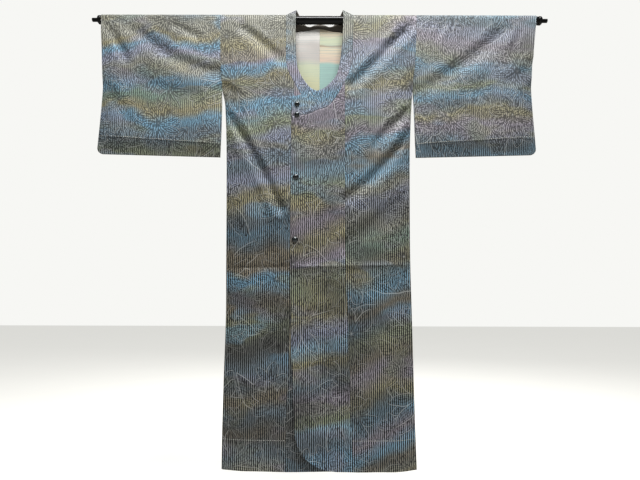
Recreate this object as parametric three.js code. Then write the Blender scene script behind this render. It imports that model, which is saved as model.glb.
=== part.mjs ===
// A long kimono coat hung flat on a rod, which runs through both sleeves.
// Millimetres, +Z up, the front faces -Y. The origin is the middle of the rod's axis.
// Right and left are the wearer's: the wearer's left is at +X.
import * as THREE from 'three';

// Driving dimensions
const clothWall = 1.8;
const liningWall = 1.0;
const liningEase = 2;
const seamGap = 0.3;
const rodRadius = 12.5;
const rodClearance = 0.8;
const coatLength = 1345;
const hangRadius = rodRadius + rodClearance + clothWall / 2;
const shoulderTop = hangRadius + clothWall / 2;
const seamDepth = clothWall / 2 + seamGap / 2;

const neckDrop = 223;
const overlapSquareTo = 1240;
const overlapRoundWidth = 126;
const backNeckDepth = 42;

const bodyRamp = 75;
const sleeveRamp = 60;
const layerLift = 5;
const edgeLift = 3.4;
const edgeLiftWidth = 34;
const liftFrom = 170;
const liftFull = 100;
const liftStartDrop = 130;
const liftFullDrop = 232;
const overlapReach = 84;

const armholeDrop = 239;
const sleeveDrop = 451;
const sleeveSlant = 9;
const sleeveCorner = 20;
const tuckAbove = 40;
const tuckSlant = 15;
const tuckStep = 2;
const tuckSpan = 10;

const snapRadius = 8;
const snapHeight = 4.6;
const snapRim = 1.4;

const rodHalf = 675;
const capRadius = 13.3;
const capLength = 11;
const capChamfer = 3;
const pinRadius = 6;
const pinReach = 704;

// The body's outline at each drop below the shoulder: side seams, and the overlap panel's seam
// and free edge, all measured from the middle.
const bodyOutline = [
  { drop: 0, sideRight: 305, sideLeft: 298, seam: 105, edge: 84 },
  { drop: 150, sideRight: 302, sideLeft: 291, seam: 76, edge: 84 },
  { drop: 239, sideRight: 296, sideLeft: 283, seam: 76, edge: 84 },
  { drop: 290, sideRight: 286, sideLeft: 279, seam: 76, edge: 84 },
  { drop: 451, sideRight: 278, sideLeft: 271, seam: 76, edge: 83 },
  { drop: 755, sideRight: 272, sideLeft: 267, seam: 76, edge: 83 },
  { drop: 928, sideRight: 269, sideLeft: 269, seam: 82, edge: 80 },
  { drop: 1100, sideRight: 271, sideLeft: 271, seam: 86.9, edge: 74 },
  { drop: 1240, sideRight: 272, sideLeft: 273, seam: 90.9, edge: 65 },
  { drop: 1350, sideRight: 271, sideLeft: 275, seam: 94, edge: 60 },
];

// How far the cloth stands from the middle plane: front and back in the middle of a panel, the
// body's edge, which is the armhole and then the side seam, and the sleeve's middle, inner edge
// and cuff edge.
const standOff = [
  { drop: 0, front: 14, back: 14, side: 14, sleeve: 14, inner: 14, cuff: 14 },
  { drop: 15, front: 14, back: 14, side: 14, sleeve: 14, inner: 14, cuff: 14 },
  { drop: 120, front: 15, back: 14.5, side: 13, sleeve: 14.5, inner: 13, cuff: 12.5 },
  { drop: 190, front: 16, back: 15, side: 10, sleeve: 14.5, inner: 10, cuff: 9 },
  { drop: 225, front: 16.5, back: 15, side: 5, sleeve: 14, inner: 5, cuff: 3.5 },
  { drop: 239, front: 16.7, back: 15, side: seamDepth, sleeve: 13.6, inner: seamDepth, cuff: seamDepth },
  { drop: 300, front: 17.5, back: 15.5, side: seamDepth, sleeve: 12.5, inner: 4, cuff: seamDepth },
  { drop: 400, front: 18, back: 16, side: seamDepth, sleeve: 9.5, inner: 4, cuff: seamDepth },
  { drop: 447, front: 18, back: 16, side: seamDepth, sleeve: seamDepth, inner: seamDepth, cuff: seamDepth },
  { drop: 700, front: 18.5, back: 16, side: seamDepth, sleeve: seamDepth, inner: seamDepth, cuff: seamDepth },
  { drop: 1350, front: 19.5, back: 17, side: seamDepth, sleeve: seamDepth, inner: seamDepth, cuff: seamDepth },
];

// The sleeves' inner and outer edges, measured from the middle.
const sleeveOutline = [
  { drop: 0, innerRight: 305, innerLeft: 298, outerRight: 673, outerLeft: 667 },
  { drop: 100, innerRight: 303, innerLeft: 293.3, outerRight: 666, outerLeft: 655 },
  { drop: 150, innerRight: 302, innerLeft: 291, outerRight: 663, outerLeft: 650 },
  { drop: 239, innerRight: 296, innerLeft: 283, outerRight: 660, outerLeft: 644 },
  { drop: 290, innerRight: 296, innerLeft: 286, outerRight: 661, outerLeft: 645 },
  { drop: 451, innerRight: 297, innerLeft: 289, outerRight: 668, outerLeft: 651 },
];

// Folds of the front: where each runs, as x and drop of its two ends and of its bend, its depth at
// either end and its half width. A trough has a low ridge along each side.
const frontFolds = [
  { x1: -656, drop1: 26, x2: -609, drop2: 111, x3: -589, drop3: 146, start: 3, end: 4, width: 20 },
  { x1: -572, drop1: 43, x2: -439, drop2: 146, x3: -303, drop3: 176, start: 5, end: 8, width: 24 },
  { x1: -442, drop1: 36, x2: -410, drop2: 54, x3: -376, drop3: 72, start: 3, end: 2, width: 18 },
  { x1: -235, drop1: 43, x2: -172, drop2: 98, x3: -117, drop3: 146, start: 4, end: 2, width: 22 },
  { x1: -276, drop1: 321, x2: -201, drop2: 436, x3: -116, drop3: 603, start: 4, end: 6, width: 24 },
  { x1: 288, drop1: 16, x2: 190, drop2: 133, x3: 98, drop3: 229, start: 5, end: 4, width: 24 },
  { x1: 274, drop1: 302, x2: 202, drop2: 371, x3: 175, drop3: 402, start: 4, end: 2, width: 20 },
  { x1: 272, drop1: 380, x2: 167, drop2: 503, x3: 74, drop3: 579, start: 4, end: 3, width: 24 },
  { x1: 265, drop1: 561, x2: 154, drop2: 654, x3: 74, drop3: 711, start: 2, end: 3, width: 30 },
  { x1: 572, drop1: 33, x2: 498, drop2: 111, x3: 339, drop3: 226, start: 5, end: 7, width: 24 },
  { x1: 647, drop1: 162, x2: 616, drop2: 194, x3: 586, drop3: 226, start: 3, end: 3, width: 20 },
  { x1: -271, drop1: 780, x2: -95, drop2: 785, x3: 262, drop3: 776, start: 1.6, end: 1.6, width: 14 },
];

// Folds of the back, in the same columns.
const backFolds = [
  { x1: -600, drop1: 38, x2: -455, drop2: 120, x3: -318, drop3: 190, start: 4, end: 6, width: 26 },
  { x1: 585, drop1: 30, x2: 470, drop2: 118, x3: 320, drop3: 205, start: 4, end: 6, width: 26 },
  { x1: -262, drop1: 70, x2: -190, drop2: 130, x3: -130, drop3: 175, start: 3, end: 2, width: 24 },
  { x1: 268, drop1: 48, x2: 200, drop2: 118, x3: 138, drop3: 190, start: 3, end: 2, width: 24 },
  { x1: -262, drop1: 310, x2: -180, drop2: 450, x3: -80, drop3: 580, start: 4, end: 4, width: 28 },
  { x1: 256, drop1: 350, x2: 165, drop2: 470, x3: 70, drop3: 600, start: 4, end: 4, width: 28 },
  { x1: -269, drop1: 776, x2: 0, drop2: 782, x3: 262, drop3: 779, start: 1.6, end: 1.6, width: 16 },
];

// The collar band's front part, from its end on the overlap up to the rod: the neck rim and the
// seam below it, each as x and drop. The right front's x is turned to the other side.
const collarLeft = [
  { rimX: -84, rimDrop: 270, seamX: -84, seamDrop: 330 },
  { rimX: -56, rimDrop: 263, seamX: -58, seamDrop: 328 },
  { rimX: -28, rimDrop: 255, seamX: -32, seamDrop: 323 },
  { rimX: 2, rimDrop: 248, seamX: -4, seamDrop: 310 },
  { rimX: 21, rimDrop: 237, seamX: 18, seamDrop: 304 },
  { rimX: 35, rimDrop: 223, seamX: 46, seamDrop: 276 },
  { rimX: 45, rimDrop: 211, seamX: 64, seamDrop: 246 },
  { rimX: 53, rimDrop: 195, seamX: 76, seamDrop: 223 },
  { rimX: 58.5, rimDrop: 174, seamX: 89, seamDrop: 192 },
  { rimX: 63, rimDrop: 145, seamX: 98, seamDrop: 153 },
  { rimX: 68, rimDrop: 102, seamX: 101, seamDrop: 100 },
  { rimX: 71, rimDrop: 60, seamX: 103, seamDrop: 60 },
  { rimX: 72, rimDrop: 32, seamX: 104, seamDrop: 32 },
];
const collarRight = [
  { rimX: -84, rimDrop: 270, seamX: -84, seamDrop: 330 },
  { rimX: -56, rimDrop: 263, seamX: -58, seamDrop: 328 },
  { rimX: -28, rimDrop: 256, seamX: -32, seamDrop: 323 },
  { rimX: 4, rimDrop: 250, seamX: -4, seamDrop: 310 },
  { rimX: 22, rimDrop: 243, seamX: 18, seamDrop: 304 },
  { rimX: 36, rimDrop: 230, seamX: 46, seamDrop: 276 },
  { rimX: 46, rimDrop: 217, seamX: 64, seamDrop: 246 },
  { rimX: 54, rimDrop: 204, seamX: 76, seamDrop: 223 },
  { rimX: 64, rimDrop: 183, seamX: 92, seamDrop: 194 },
  { rimX: 71, rimDrop: 145, seamX: 102, seamDrop: 153 },
  { rimX: 72.5, rimDrop: 102, seamX: 103, seamDrop: 100 },
  { rimX: 74, rimDrop: 60, seamX: 103, seamDrop: 60 },
  { rimX: 74, rimDrop: 32, seamX: 104, seamDrop: 32 },
];

// The band over the shoulder: the turn about the rod, from front to back in degrees, and the rim.
const collarShoulder = [
  { turn: 0, rimX: 72.5, rimY: -15.5, rimZ: 2 },
  { turn: 30, rimX: 72.5, rimY: -14.5, rimZ: 15 },
  { turn: 60, rimX: 72, rimY: -9, rimZ: 26 },
  { turn: 90, rimX: 71.5, rimY: -1, rimZ: 32 },
  { turn: 120, rimX: 69, rimY: 8, rimZ: 31 },
  { turn: 150, rimX: 63, rimY: 15, rimZ: 23 },
  { turn: 180, rimX: 56, rimY: 17.5, rimZ: 12 },
];

// The band behind the neck, down to the centre back: the seam's x and height, and the rim.
const collarBack = [
  { seamX: 95, seamZ: -13, rimX: 49, rimY: 19, rimZ: 1 },
  { seamX: 80, seamZ: -26, rimX: 41, rimY: 20, rimZ: -8 },
  { seamX: 58, seamZ: -35, rimX: 30, rimY: 20.5, rimZ: -10 },
  { seamX: 32, seamZ: -40, rimX: 16, rimY: 20.5, rimZ: -4.5 },
  { seamX: 0, seamZ: -backNeckDepth, rimX: 0, rimY: 20, rimZ: -2 },
];
const neckTurnX = 104;

// The lining's top edge behind the neck.
const liningTop = [
  { x: -116, z: -44 },
  { x: -75, z: -34 },
  { x: -40, z: -29 },
  { x: 0, z: -23 },
  { x: 46, z: -32 },
  { x: 75, z: -35 },
  { x: 116, z: -44 },
];
const liningHalfWidth = 116;
const liningBottom = -292;

// The snap buttons, on the left front's free edge.
const snaps = [
  { x: -67, drop: 293 },
  { x: -67, drop: 325.5 },
  { x: -69.5, drop: 515.5 },
  { x: -70, drop: 701 },
];

const colours = {
  cloth: new THREE.Color(0.36, 0.39, 0.43),
  collar: new THREE.Color(0.4, 0.41, 0.43),
  liningRight: new THREE.Color(0.76, 0.76, 0.7),
  liningLeft: new THREE.Color(0.72, 0.77, 0.72),
  black: new THREE.Color(0.02, 0.02, 0.022),
};

// ---------------------------------------------------------------- reading the tables

function lookUp(rows, key, value, column) {
  const last = rows.length - 1;
  let index = 0;
  while (index < last - 1 && rows[index + 1][key] < value) index += 1;
  const low = rows[index];
  const high = rows[index + 1];
  const share = THREE.MathUtils.clamp((value - low[key]) / (high[key] - low[key]), 0, 1);
  return THREE.MathUtils.lerp(low[column], high[column], share);
}

const smooth = (value, from, to) => THREE.MathUtils.smoothstep(value, from, to);

const heightAt = (drop) => shoulderTop - drop;

// ---------------------------------------------------------------- how the cloth stands

// Rises from 0 at an edge to 1 at the ramp's width, with a finite slope at the edge.
function ramp(distance, width) {
  const share = THREE.MathUtils.clamp(distance / width, 0, 1);
  return Math.sin((share * Math.PI) / 2);
}

// Signed distance to a fold's line, and how far along it the nearest point is.
function nearestOnFold(fold, x, drop) {
  const bends = [
    [fold.x1, fold.drop1, fold.x2, fold.drop2],
    [fold.x2, fold.drop2, fold.x3, fold.drop3],
  ];
  let best = { distance: Infinity, along: 0 };
  bends.forEach(([fromX, fromDrop, toX, toDrop], piece) => {
    const spanX = toX - fromX;
    const spanDrop = toDrop - fromDrop;
    const reach = (x - fromX) * spanX + (drop - fromDrop) * spanDrop;
    const share = THREE.MathUtils.clamp(reach / (spanX ** 2 + spanDrop ** 2), 0, 1);
    const distance = Math.hypot(x - fromX - share * spanX, drop - fromDrop - share * spanDrop);
    if (distance < best.distance) best = { distance, along: (piece + share) / bends.length };
  });
  return best;
}

const ridgeHeight = 0.45;
const ridgeOffset = 1.8;
const foldsFrom = 15;
const foldsFull = 70;
const foldsPressFull = 10;

// How far the folds draw the cloth in at a point.
function relief(folds, x, drop) {
  let total = 0;
  folds.forEach((fold) => {
    const { distance, along } = nearestOnFold(fold, x, drop);
    const reach = distance / fold.width;
    const depth = THREE.MathUtils.lerp(fold.start, fold.end, along);
    const trough = Math.exp(-(reach ** 2));
    const ridge = ridgeHeight * Math.exp(-((reach - ridgeOffset) ** 2));
    total += depth * (trough - ridge);
  });
  return total * smooth(drop, foldsFrom, foldsFull);
}

const hemWaveHeight = 2.2;
const hemWaveLength = 43;
const hemWaveFrom = 1120;

function hemWave(x, drop) {
  return hemWaveHeight * Math.sin(x / hemWaveLength) * smooth(drop, hemWaveFrom, coatLength);
}

// Folds press in fully where the cloth stands clear, and not at all where front meets back.
function pressed(stand, drawn) {
  const allowed = smooth(stand, seamDepth, foldsPressFull);
  return Math.max(stand - drawn * allowed, seamDepth);
}

function bodySide(x, drop) {
  const column = x < 0 ? 'sideRight' : 'sideLeft';
  return lookUp(bodyOutline, 'drop', drop, column);
}

// Distance of a body panel's mid-surface from the middle plane.
function bodyStand(face, x, drop) {
  const side = lookUp(standOff, 'drop', drop, 'side');
  const middle = lookUp(standOff, 'drop', drop, face);
  const rise = ramp(bodySide(x, drop) - Math.abs(x), bodyRamp);
  const stand = THREE.MathUtils.lerp(side, middle, rise);
  const folds = face === 'front' ? frontFolds : backFolds;
  return pressed(stand, relief(folds, x, drop) + hemWave(x, drop));
}

// The left front lies over the right one.
function overlapLift(x, drop) {
  const across = 1 - smooth(x, liftFull, liftFrom);
  const down = smooth(drop, liftStartDrop, liftFullDrop);
  const towardsEdge = smooth(-x, overlapReach - edgeLiftWidth, overlapReach);
  return across * down * THREE.MathUtils.lerp(layerLift, edgeLift, towardsEdge);
}

function frontY(x, drop, lifted) {
  return -bodyStand('front', x, drop) - (lifted ? overlapLift(x, drop) : 0);
}

function tuckDrop(across) {
  return sleeveDrop - tuckAbove - tuckSlant * across;
}

// Distance of a sleeve's mid-surface from the middle plane.
function sleeveStand(face, x, drop, across, innerGap, outerGap) {
  const middle = lookUp(standOff, 'drop', drop, 'sleeve');
  const inner = lookUp(standOff, 'drop', drop, 'inner');
  const cuff = lookUp(standOff, 'drop', drop, 'cuff');
  const towardsInner = (middle - inner) * (1 - ramp(innerGap, sleeveRamp));
  const towardsCuff = (middle - cuff) * (1 - ramp(outerGap, sleeveRamp));
  const stand = Math.max(middle - towardsInner - towardsCuff, seamDepth);
  const folds = face === 'front' ? frontFolds : backFolds;
  const tuck = tuckStep * smooth(drop, tuckDrop(across), tuckDrop(across) + tuckSpan);
  return pressed(stand, relief(folds, x, drop) + tuck);
}

// ---------------------------------------------------------------- making a wall of cloth

// place(row, column) gives a point of the mid-surface and the way out of the cloth there.
function sheet(rows, columns, place, wall) {
  const points = [];
  for (const side of [1, -1]) {
    for (let row = 0; row <= rows; row += 1) {
      for (let column = 0; column <= columns; column += 1) {
        const { point, out } = place(row, column);
        points.push(point.clone().addScaledVector(out, (side * wall) / 2));
      }
    }
  }
  const layer = (rows + 1) * (columns + 1);
  const at = (row, column, side) => side * layer + row * (columns + 1) + column;
  const triangles = [];
  const quad = (a, b, c, d) => triangles.push([a, b, c], [a, c, d]);
  for (let row = 0; row < rows; row += 1) {
    for (let column = 0; column < columns; column += 1) {
      const corners = [[row, column], [row + 1, column], [row + 1, column + 1], [row, column + 1]];
      quad(...corners.map(([i, j]) => at(i, j, 0)));
      quad(...corners.reverse().map(([i, j]) => at(i, j, 1)));
    }
  }
  const rim = [];
  for (let column = 0; column < columns; column += 1) rim.push([0, column]);
  for (let row = 0; row < rows; row += 1) rim.push([row, columns]);
  for (let column = columns; column > 0; column -= 1) rim.push([rows, column]);
  for (let row = rows; row > 0; row -= 1) rim.push([row, 0]);
  rim.forEach(([row, column], index) => {
    const [nextRow, nextColumn] = rim[(index + 1) % rim.length];
    const near = at(row, column, 0);
    const next = at(nextRow, nextColumn, 0);
    quad(near, next, next + layer, near + layer);
  });
  return closedBody(points, triangles);
}

// Turns the faces round where they point inwards.
function closedBody(points, triangles) {
  let volume = 0;
  triangles.forEach(([a, b, c]) => {
    volume += points[a].dot(points[b].clone().cross(points[c]));
  });
  const order = volume < 0 ? [0, 2, 1] : [0, 1, 2];
  const geometry = new THREE.BufferGeometry();
  const places = points.flatMap((point) => point.toArray());
  geometry.setAttribute('position', new THREE.Float32BufferAttribute(places, 3));
  geometry.setIndex(triangles.flatMap((triangle) => order.map((corner) => triangle[corner])));
  geometry.computeVertexNormals();
  return geometry;
}

const frontOut = new THREE.Vector3(0, -1, 0);
const backOut = new THREE.Vector3(0, 1, 0);
const turnOut = (degrees) => {
  const angle = THREE.MathUtils.degToRad(degrees);
  return new THREE.Vector3(0, -Math.cos(angle), Math.sin(angle));
};

// Stations along a cloth that goes from the front hem over the rod to the back hem.
function hangingStations(frontDrops, backDrops) {
  const turns = collarShoulder.map((row) => row.turn);
  return [
    ...[...frontDrops].reverse().map((drop) => ({ face: 'front', drop })),
    ...turns.map((turn) => ({ face: 'top', turn })),
    ...backDrops.map((drop) => ({ face: 'back', drop })),
  ];
}

function overRod(x, turn) {
  const out = turnOut(turn);
  return { point: out.clone().multiplyScalar(hangRadius).setX(x), out };
}

function steps(from, to, count) {
  return Array.from({ length: count + 1 }, (_, index) => THREE.MathUtils.lerp(from, to, index / count));
}

const material = (color, roughness, metalness = 0) =>
  new THREE.MeshStandardMaterial({ color, roughness, metalness });
const clothMaterial = () => material(colours.cloth, 0.62);

const coat = new THREE.Group();
coat.name = 'kimono_coat_on_rod';

function addPiece(name, geometry, pieceMaterial, parent = coat) {
  const mesh = new THREE.Mesh(geometry, pieceMaterial);
  mesh.name = name;
  parent.add(mesh);
  return mesh;
}

// ---------------------------------------------------------------- body

const bodyColumns = 8;
const creaseDrops = [755, 768, 782, 796];
const skirtDrops = steps(850, overlapSquareTo, 5);
const bodyLowerDrops = [
  ...steps(250, 720, 15),
  ...creaseDrops,
  ...skirtDrops,
  1280,
  1318,
  coatLength,
];
const backNeckDrops = collarBack.map((row) => shoulderTop - row.seamZ);
const bodyBackDrops = [...backNeckDrops, ...steps(90, 720, 12), ...creaseDrops, ...steps(890, coatLength, 4)];

// The body panel's inner edge: the collar seam, then the overlap seam in front, or the centre back.
function bodyInner(frontCollar, station) {
  if (station.face === 'top') return neckTurnX;
  if (station.face === 'back') {
    const neck = collarBack.map((row) => ({ drop: shoulderTop - row.seamZ, x: row.seamX }));
    return lookUp([{ drop: shoulderTop, x: neckTurnX }, ...neck], 'drop', station.drop, 'x');
  }
  if (station.drop > neckDrop) return lookUp(bodyOutline, 'drop', station.drop, 'seam');
  const seam = frontCollar.map((row) => ({ drop: row.seamDrop, x: row.seamX })).reverse();
  return lookUp(seam, 'drop', station.drop, 'x');
}

function bodyPanel(side, frontCollar) {
  const seamDrops = frontCollar.map((row) => row.seamDrop).filter((drop) => drop <= neckDrop);
  const stations = hangingStations([...seamDrops.reverse(), ...bodyLowerDrops], bodyBackDrops);
  const outline = side > 0 ? 'sideLeft' : 'sideRight';
  const place = (row, column) => {
    const station = stations[row];
    const drop = station.face === 'top' ? 0 : station.drop;
    const from = bodyInner(frontCollar, station) + seamGap / 2;
    const to = lookUp(bodyOutline, 'drop', drop, outline) - seamGap / 2;
    const x = side * THREE.MathUtils.lerp(from, to, column / bodyColumns);
    if (station.face === 'top') return overRod(x, station.turn);
    if (station.face === 'front') {
      const y = frontY(x, drop, side > 0);
      return { point: new THREE.Vector3(x, y, heightAt(drop)), out: frontOut };
    }
    return { point: new THREE.Vector3(x, bodyStand('back', x, drop), heightAt(drop)), out: backOut };
  };
  return sheet(stations.length - 1, bodyColumns, place, clothWall);
}

addPiece('body_right', bodyPanel(-1, collarRight), clothMaterial());
addPiece('body_left', bodyPanel(1, collarLeft), clothMaterial());

// ---------------------------------------------------------------- sleeves

const sleeveColumns = 12;
const cornerDrops = [1, 0.5, 0.15, 0].map((share) => sleeveDrop - sleeveCorner * share);
const tuckDrops = [400, 412];
const sleeveFrontDrops = [...steps(32, armholeDrop, 8), ...steps(265, 385, 4), ...tuckDrops, ...cornerDrops];
const sleeveBackDrops = [...steps(45, armholeDrop, 5), ...steps(285, 385, 2), ...tuckDrops, ...cornerDrops];

function roundedCorner(drop, bottom, radius) {
  const above = bottom - drop;
  if (above >= radius) return 0;
  return radius - Math.sqrt(radius ** 2 - (radius - above) ** 2);
}

function sleevePanel(side) {
  const stations = hangingStations(sleeveFrontDrops, sleeveBackDrops);
  const inner = side > 0 ? 'innerLeft' : 'innerRight';
  const outer = side > 0 ? 'outerLeft' : 'outerRight';
  const place = (row, column) => {
    const station = stations[row];
    const across = column / sleeveColumns;
    const seamRowDrop = station.face === 'top' ? 0 : station.drop;
    const from = lookUp(sleeveOutline, 'drop', seamRowDrop, inner) + seamGap / 2;
    const to = lookUp(sleeveOutline, 'drop', seamRowDrop, outer);
    const round = roundedCorner(seamRowDrop, sleeveDrop, sleeveCorner);
    const distance = THREE.MathUtils.lerp(from, to - round, across);
    const x = side * distance;
    if (station.face === 'top') return overRod(x, station.turn);
    const drop = seamRowDrop * (1 - (sleeveSlant * across) / sleeveDrop);
    const gaps = [distance - from, to - round - distance];
    const stand = sleeveStand(station.face, x, seamRowDrop, across, ...gaps);
    if (station.face === 'front') {
      return { point: new THREE.Vector3(x, -stand, heightAt(drop)), out: frontOut };
    }
    return { point: new THREE.Vector3(x, stand, heightAt(drop)), out: backOut };
  };
  return sheet(stations.length - 1, sleeveColumns, place, clothWall);
}

addPiece('sleeve_right', sleevePanel(-1), clothMaterial());
addPiece('sleeve_left', sleevePanel(1), clothMaterial());

// ---------------------------------------------------------------- overlap panels

const overlapStraightFrom = 400;
const overlapTopRows = 4;
const overlapDrops = [
  ...steps(overlapStraightFrom, 720, 8).slice(1),
  ...creaseDrops,
  ...skirtDrops,
];
const roundDrops = [0.35, 0.65, 0.85, 0.96, 1].map((share) => {
  return THREE.MathUtils.lerp(overlapSquareTo, coatLength, share);
});

function overlapEdge(side, drop) {
  if (side < 0) {
    return -lookUp(bodyOutline, 'drop', drop, 'edge');
  }
  const edge = -lookUp(bodyOutline, 'drop', Math.min(drop, overlapSquareTo), 'edge');
  const below = Math.max(drop - overlapSquareTo, 0) / (coatLength - overlapSquareTo);
  return edge + overlapRoundWidth * (1 - Math.sqrt(1 - below ** 2));
}

// The left panel lies on top and has a round bottom corner; the right one lies under it and has a
// square one.
function overlapPanel(side, frontCollar) {
  const seam = frontCollar.filter((row) => row.seamDrop >= neckDrop);
  const columns = seam.length - 1;
  const rows = overlapTopRows + overlapDrops.length + roundDrops.length;
  const straight = [...overlapDrops, ...roundDrops];
  const place = (row, column) => {
    const share = (seam[column].seamX - seam[0].seamX) / (seam[columns].seamX - seam[0].seamX);
    const topRow = row <= overlapTopRows;
    const level = topRow ? overlapStraightFrom : straight[row - overlapTopRows - 1];
    const from = overlapEdge(side, level);
    const to = lookUp(bodyOutline, 'drop', level, 'seam') - seamGap / 2;
    const top = seam[column].seamDrop + seamGap;
    const drop = topRow ? THREE.MathUtils.lerp(top, level, row / overlapTopRows) : level;
    const x = side * THREE.MathUtils.lerp(from, to, share);
    return { point: new THREE.Vector3(x, frontY(x, drop, side > 0), heightAt(drop)), out: frontOut };
  };
  return sheet(rows, columns, place, clothWall);
}

addPiece('overlap_right', overlapPanel(-1, collarRight), clothMaterial());
addPiece('overlap_left', overlapPanel(1, collarLeft), clothMaterial());

// ---------------------------------------------------------------- collar band

const collarColumns = 3;
const collarLean = 0.5;

// One row of the band: its two edges and the way out of the cloth.
function collarRows() {
  const half = (side, frontRows) => {
    const front = frontRows.map((row) => {
      const edge = (x, drop) => new THREE.Vector3(x, frontY(x, drop, side > 0), heightAt(drop));
      return {
        rim: edge(side * row.rimX, row.rimDrop),
        seam: edge(side * row.seamX, row.seamDrop),
        out: frontOut,
      };
    });
    const shoulder = collarShoulder.map((row) => {
      const lean = new THREE.Vector3(side * collarLean * Math.sin(THREE.MathUtils.degToRad(row.turn)), 0, 0);
      return {
        rim: new THREE.Vector3(side * row.rimX, row.rimY, row.rimZ),
        seam: overRod(side * neckTurnX, row.turn).point,
        out: turnOut(row.turn).add(lean).normalize(),
      };
    });
    const back = collarBack.map((row) => {
      const y = bodyStand('back', side * row.seamX, shoulderTop - row.seamZ);
      return {
        rim: new THREE.Vector3(side * row.rimX, row.rimY, row.rimZ),
        seam: new THREE.Vector3(side * row.seamX, y, row.seamZ),
        out: backOut,
      };
    });
    return [...front, ...shoulder, ...back];
  };
  return [...half(-1, collarRight), ...half(1, collarLeft).reverse().slice(1)];
}

function collarBand() {
  const rows = collarRows();
  const place = (row, column) => {
    const { rim, seam, out } = rows[row];
    const towardsRim = rim.clone().sub(seam);
    const width = towardsRim.length();
    const gap = seamGap + Math.abs(out.x) * clothWall;
    const from = seam.clone().addScaledVector(towardsRim, gap / width);
    const point = from.lerp(rim, column / collarColumns);
    if (out === frontOut) point.y = frontY(point.x, shoulderTop - point.z, row > rows.length / 2);
    return { point, out };
  };
  return sheet(rows.length - 1, collarColumns, place, clothWall);
}

addPiece('collar', collarBand(), material(colours.collar, 0.62));

// ---------------------------------------------------------------- lining of the upper back

const liningColumns = 4;
const liningRows = 7;

// Each lining width lies against the inside of its body panel and meets the other at centre back.
function liningWidth(side) {
  const inset = clothWall / 2 + liningEase + liningWall / 2;
  const place = (row, column) => {
    const x = side * THREE.MathUtils.lerp(seamGap / 2, liningHalfWidth, column / liningColumns);
    const z = THREE.MathUtils.lerp(lookUp(liningTop, 'x', x, 'z'), liningBottom, row / liningRows);
    const y = bodyStand('back', x, shoulderTop - z) - inset;
    return { point: new THREE.Vector3(x, y, z), out: backOut };
  };
  return sheet(liningRows, liningColumns, place, liningWall);
}

addPiece('lining_right', liningWidth(-1), material(colours.liningRight, 0.7));
addPiece('lining_left', liningWidth(1), material(colours.liningLeft, 0.7));

// ---------------------------------------------------------------- snap buttons

const snapSides = 14;

// A dome with a rolled rim and a flat back, turned about its own axis.
function snapGeometry() {
  const dome = steps(0, Math.PI / 2, 3).map((angle) => {
    const radius = (snapRadius - snapRim / 2) * Math.cos(angle);
    return new THREE.Vector2(radius, snapRim + (snapHeight - snapRim) * Math.sin(angle));
  });
  const profile = [
    new THREE.Vector2(0, 0),
    new THREE.Vector2(snapRadius - snapRim / 2, 0),
    new THREE.Vector2(snapRadius, snapRim / 2),
    ...dome.slice(0, -1),
    new THREE.Vector2(0, snapHeight),
  ];
  return new THREE.LatheGeometry(profile, snapSides);
}

// Each snap sits just off the highest point of the cloth under it.
function snapPlace({ x, drop }) {
  const around = steps(0, 2 * Math.PI, 12).map((angle) => {
    return frontY(x + snapRadius * Math.cos(angle), drop + snapRadius * Math.sin(angle), true);
  });
  const cloth = Math.min(frontY(x, drop, true), ...around);
  return new THREE.Vector3(x, cloth - clothWall / 2 - seamGap, heightAt(drop));
}

snaps.forEach((snap, index) => {
  const button = addPiece(`snap_button_${index + 1}`, snapGeometry(), material(colours.black, 0.25));
  button.position.copy(snapPlace(snap));
  button.rotation.x = Math.PI;
});

// ---------------------------------------------------------------- rod

const rodSides = 32;
const capSides = 18;

const rodGeometry = new THREE.CylinderGeometry(rodRadius, rodRadius, 2 * rodHalf, rodSides);
addPiece('rod', rodGeometry, material(colours.black, 0.3)).rotation.z = Math.PI / 2;

// A chamfered cap with a thin pin beyond it.
function rodEnd() {
  const capFrom = rodHalf + seamGap;
  const capTo = capFrom + capLength;
  const profile = [
    new THREE.Vector2(0, capFrom),
    new THREE.Vector2(capRadius, capFrom),
    new THREE.Vector2(capRadius, capTo - capChamfer),
    new THREE.Vector2(capRadius - capChamfer, capTo),
    new THREE.Vector2(pinRadius, capTo),
    new THREE.Vector2(pinRadius, pinReach),
    new THREE.Vector2(0, pinReach),
  ];
  return new THREE.LatheGeometry(profile, capSides);
}

addPiece('rod_end_left', rodEnd(), material(colours.black, 0.35)).rotation.z = -Math.PI / 2;
addPiece('rod_end_right', rodEnd(), material(colours.black, 0.35)).rotation.z = Math.PI / 2;

export default coat;
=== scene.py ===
import math
import bpy
import numpy as np
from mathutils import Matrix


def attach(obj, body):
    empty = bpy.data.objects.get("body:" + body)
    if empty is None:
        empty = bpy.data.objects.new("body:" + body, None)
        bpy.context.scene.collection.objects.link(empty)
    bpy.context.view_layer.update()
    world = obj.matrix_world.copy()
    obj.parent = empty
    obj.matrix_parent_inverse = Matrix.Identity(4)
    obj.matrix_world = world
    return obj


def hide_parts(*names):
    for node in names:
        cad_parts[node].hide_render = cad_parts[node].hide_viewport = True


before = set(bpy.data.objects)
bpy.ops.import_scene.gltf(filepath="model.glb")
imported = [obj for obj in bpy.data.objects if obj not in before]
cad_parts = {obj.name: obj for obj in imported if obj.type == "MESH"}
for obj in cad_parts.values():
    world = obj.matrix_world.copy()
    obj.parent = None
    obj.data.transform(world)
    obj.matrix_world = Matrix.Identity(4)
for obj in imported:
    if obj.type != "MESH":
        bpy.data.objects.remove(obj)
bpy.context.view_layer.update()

# ---------------------------------------------------------------- camera, light and floor
# The coat hangs in front of an eye at hip height that looks slightly up, in a plain pale studio:
# one large soft lamp high in front, a weak wide one from below, a pale floor and a pale surround.
camera = bpy.data.objects.new("camera", bpy.data.cameras.new("camera"))
camera.data.sensor_width = 36
camera.data.lens = 27
camera.location = (0.003, -1.405, -0.837)
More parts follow.
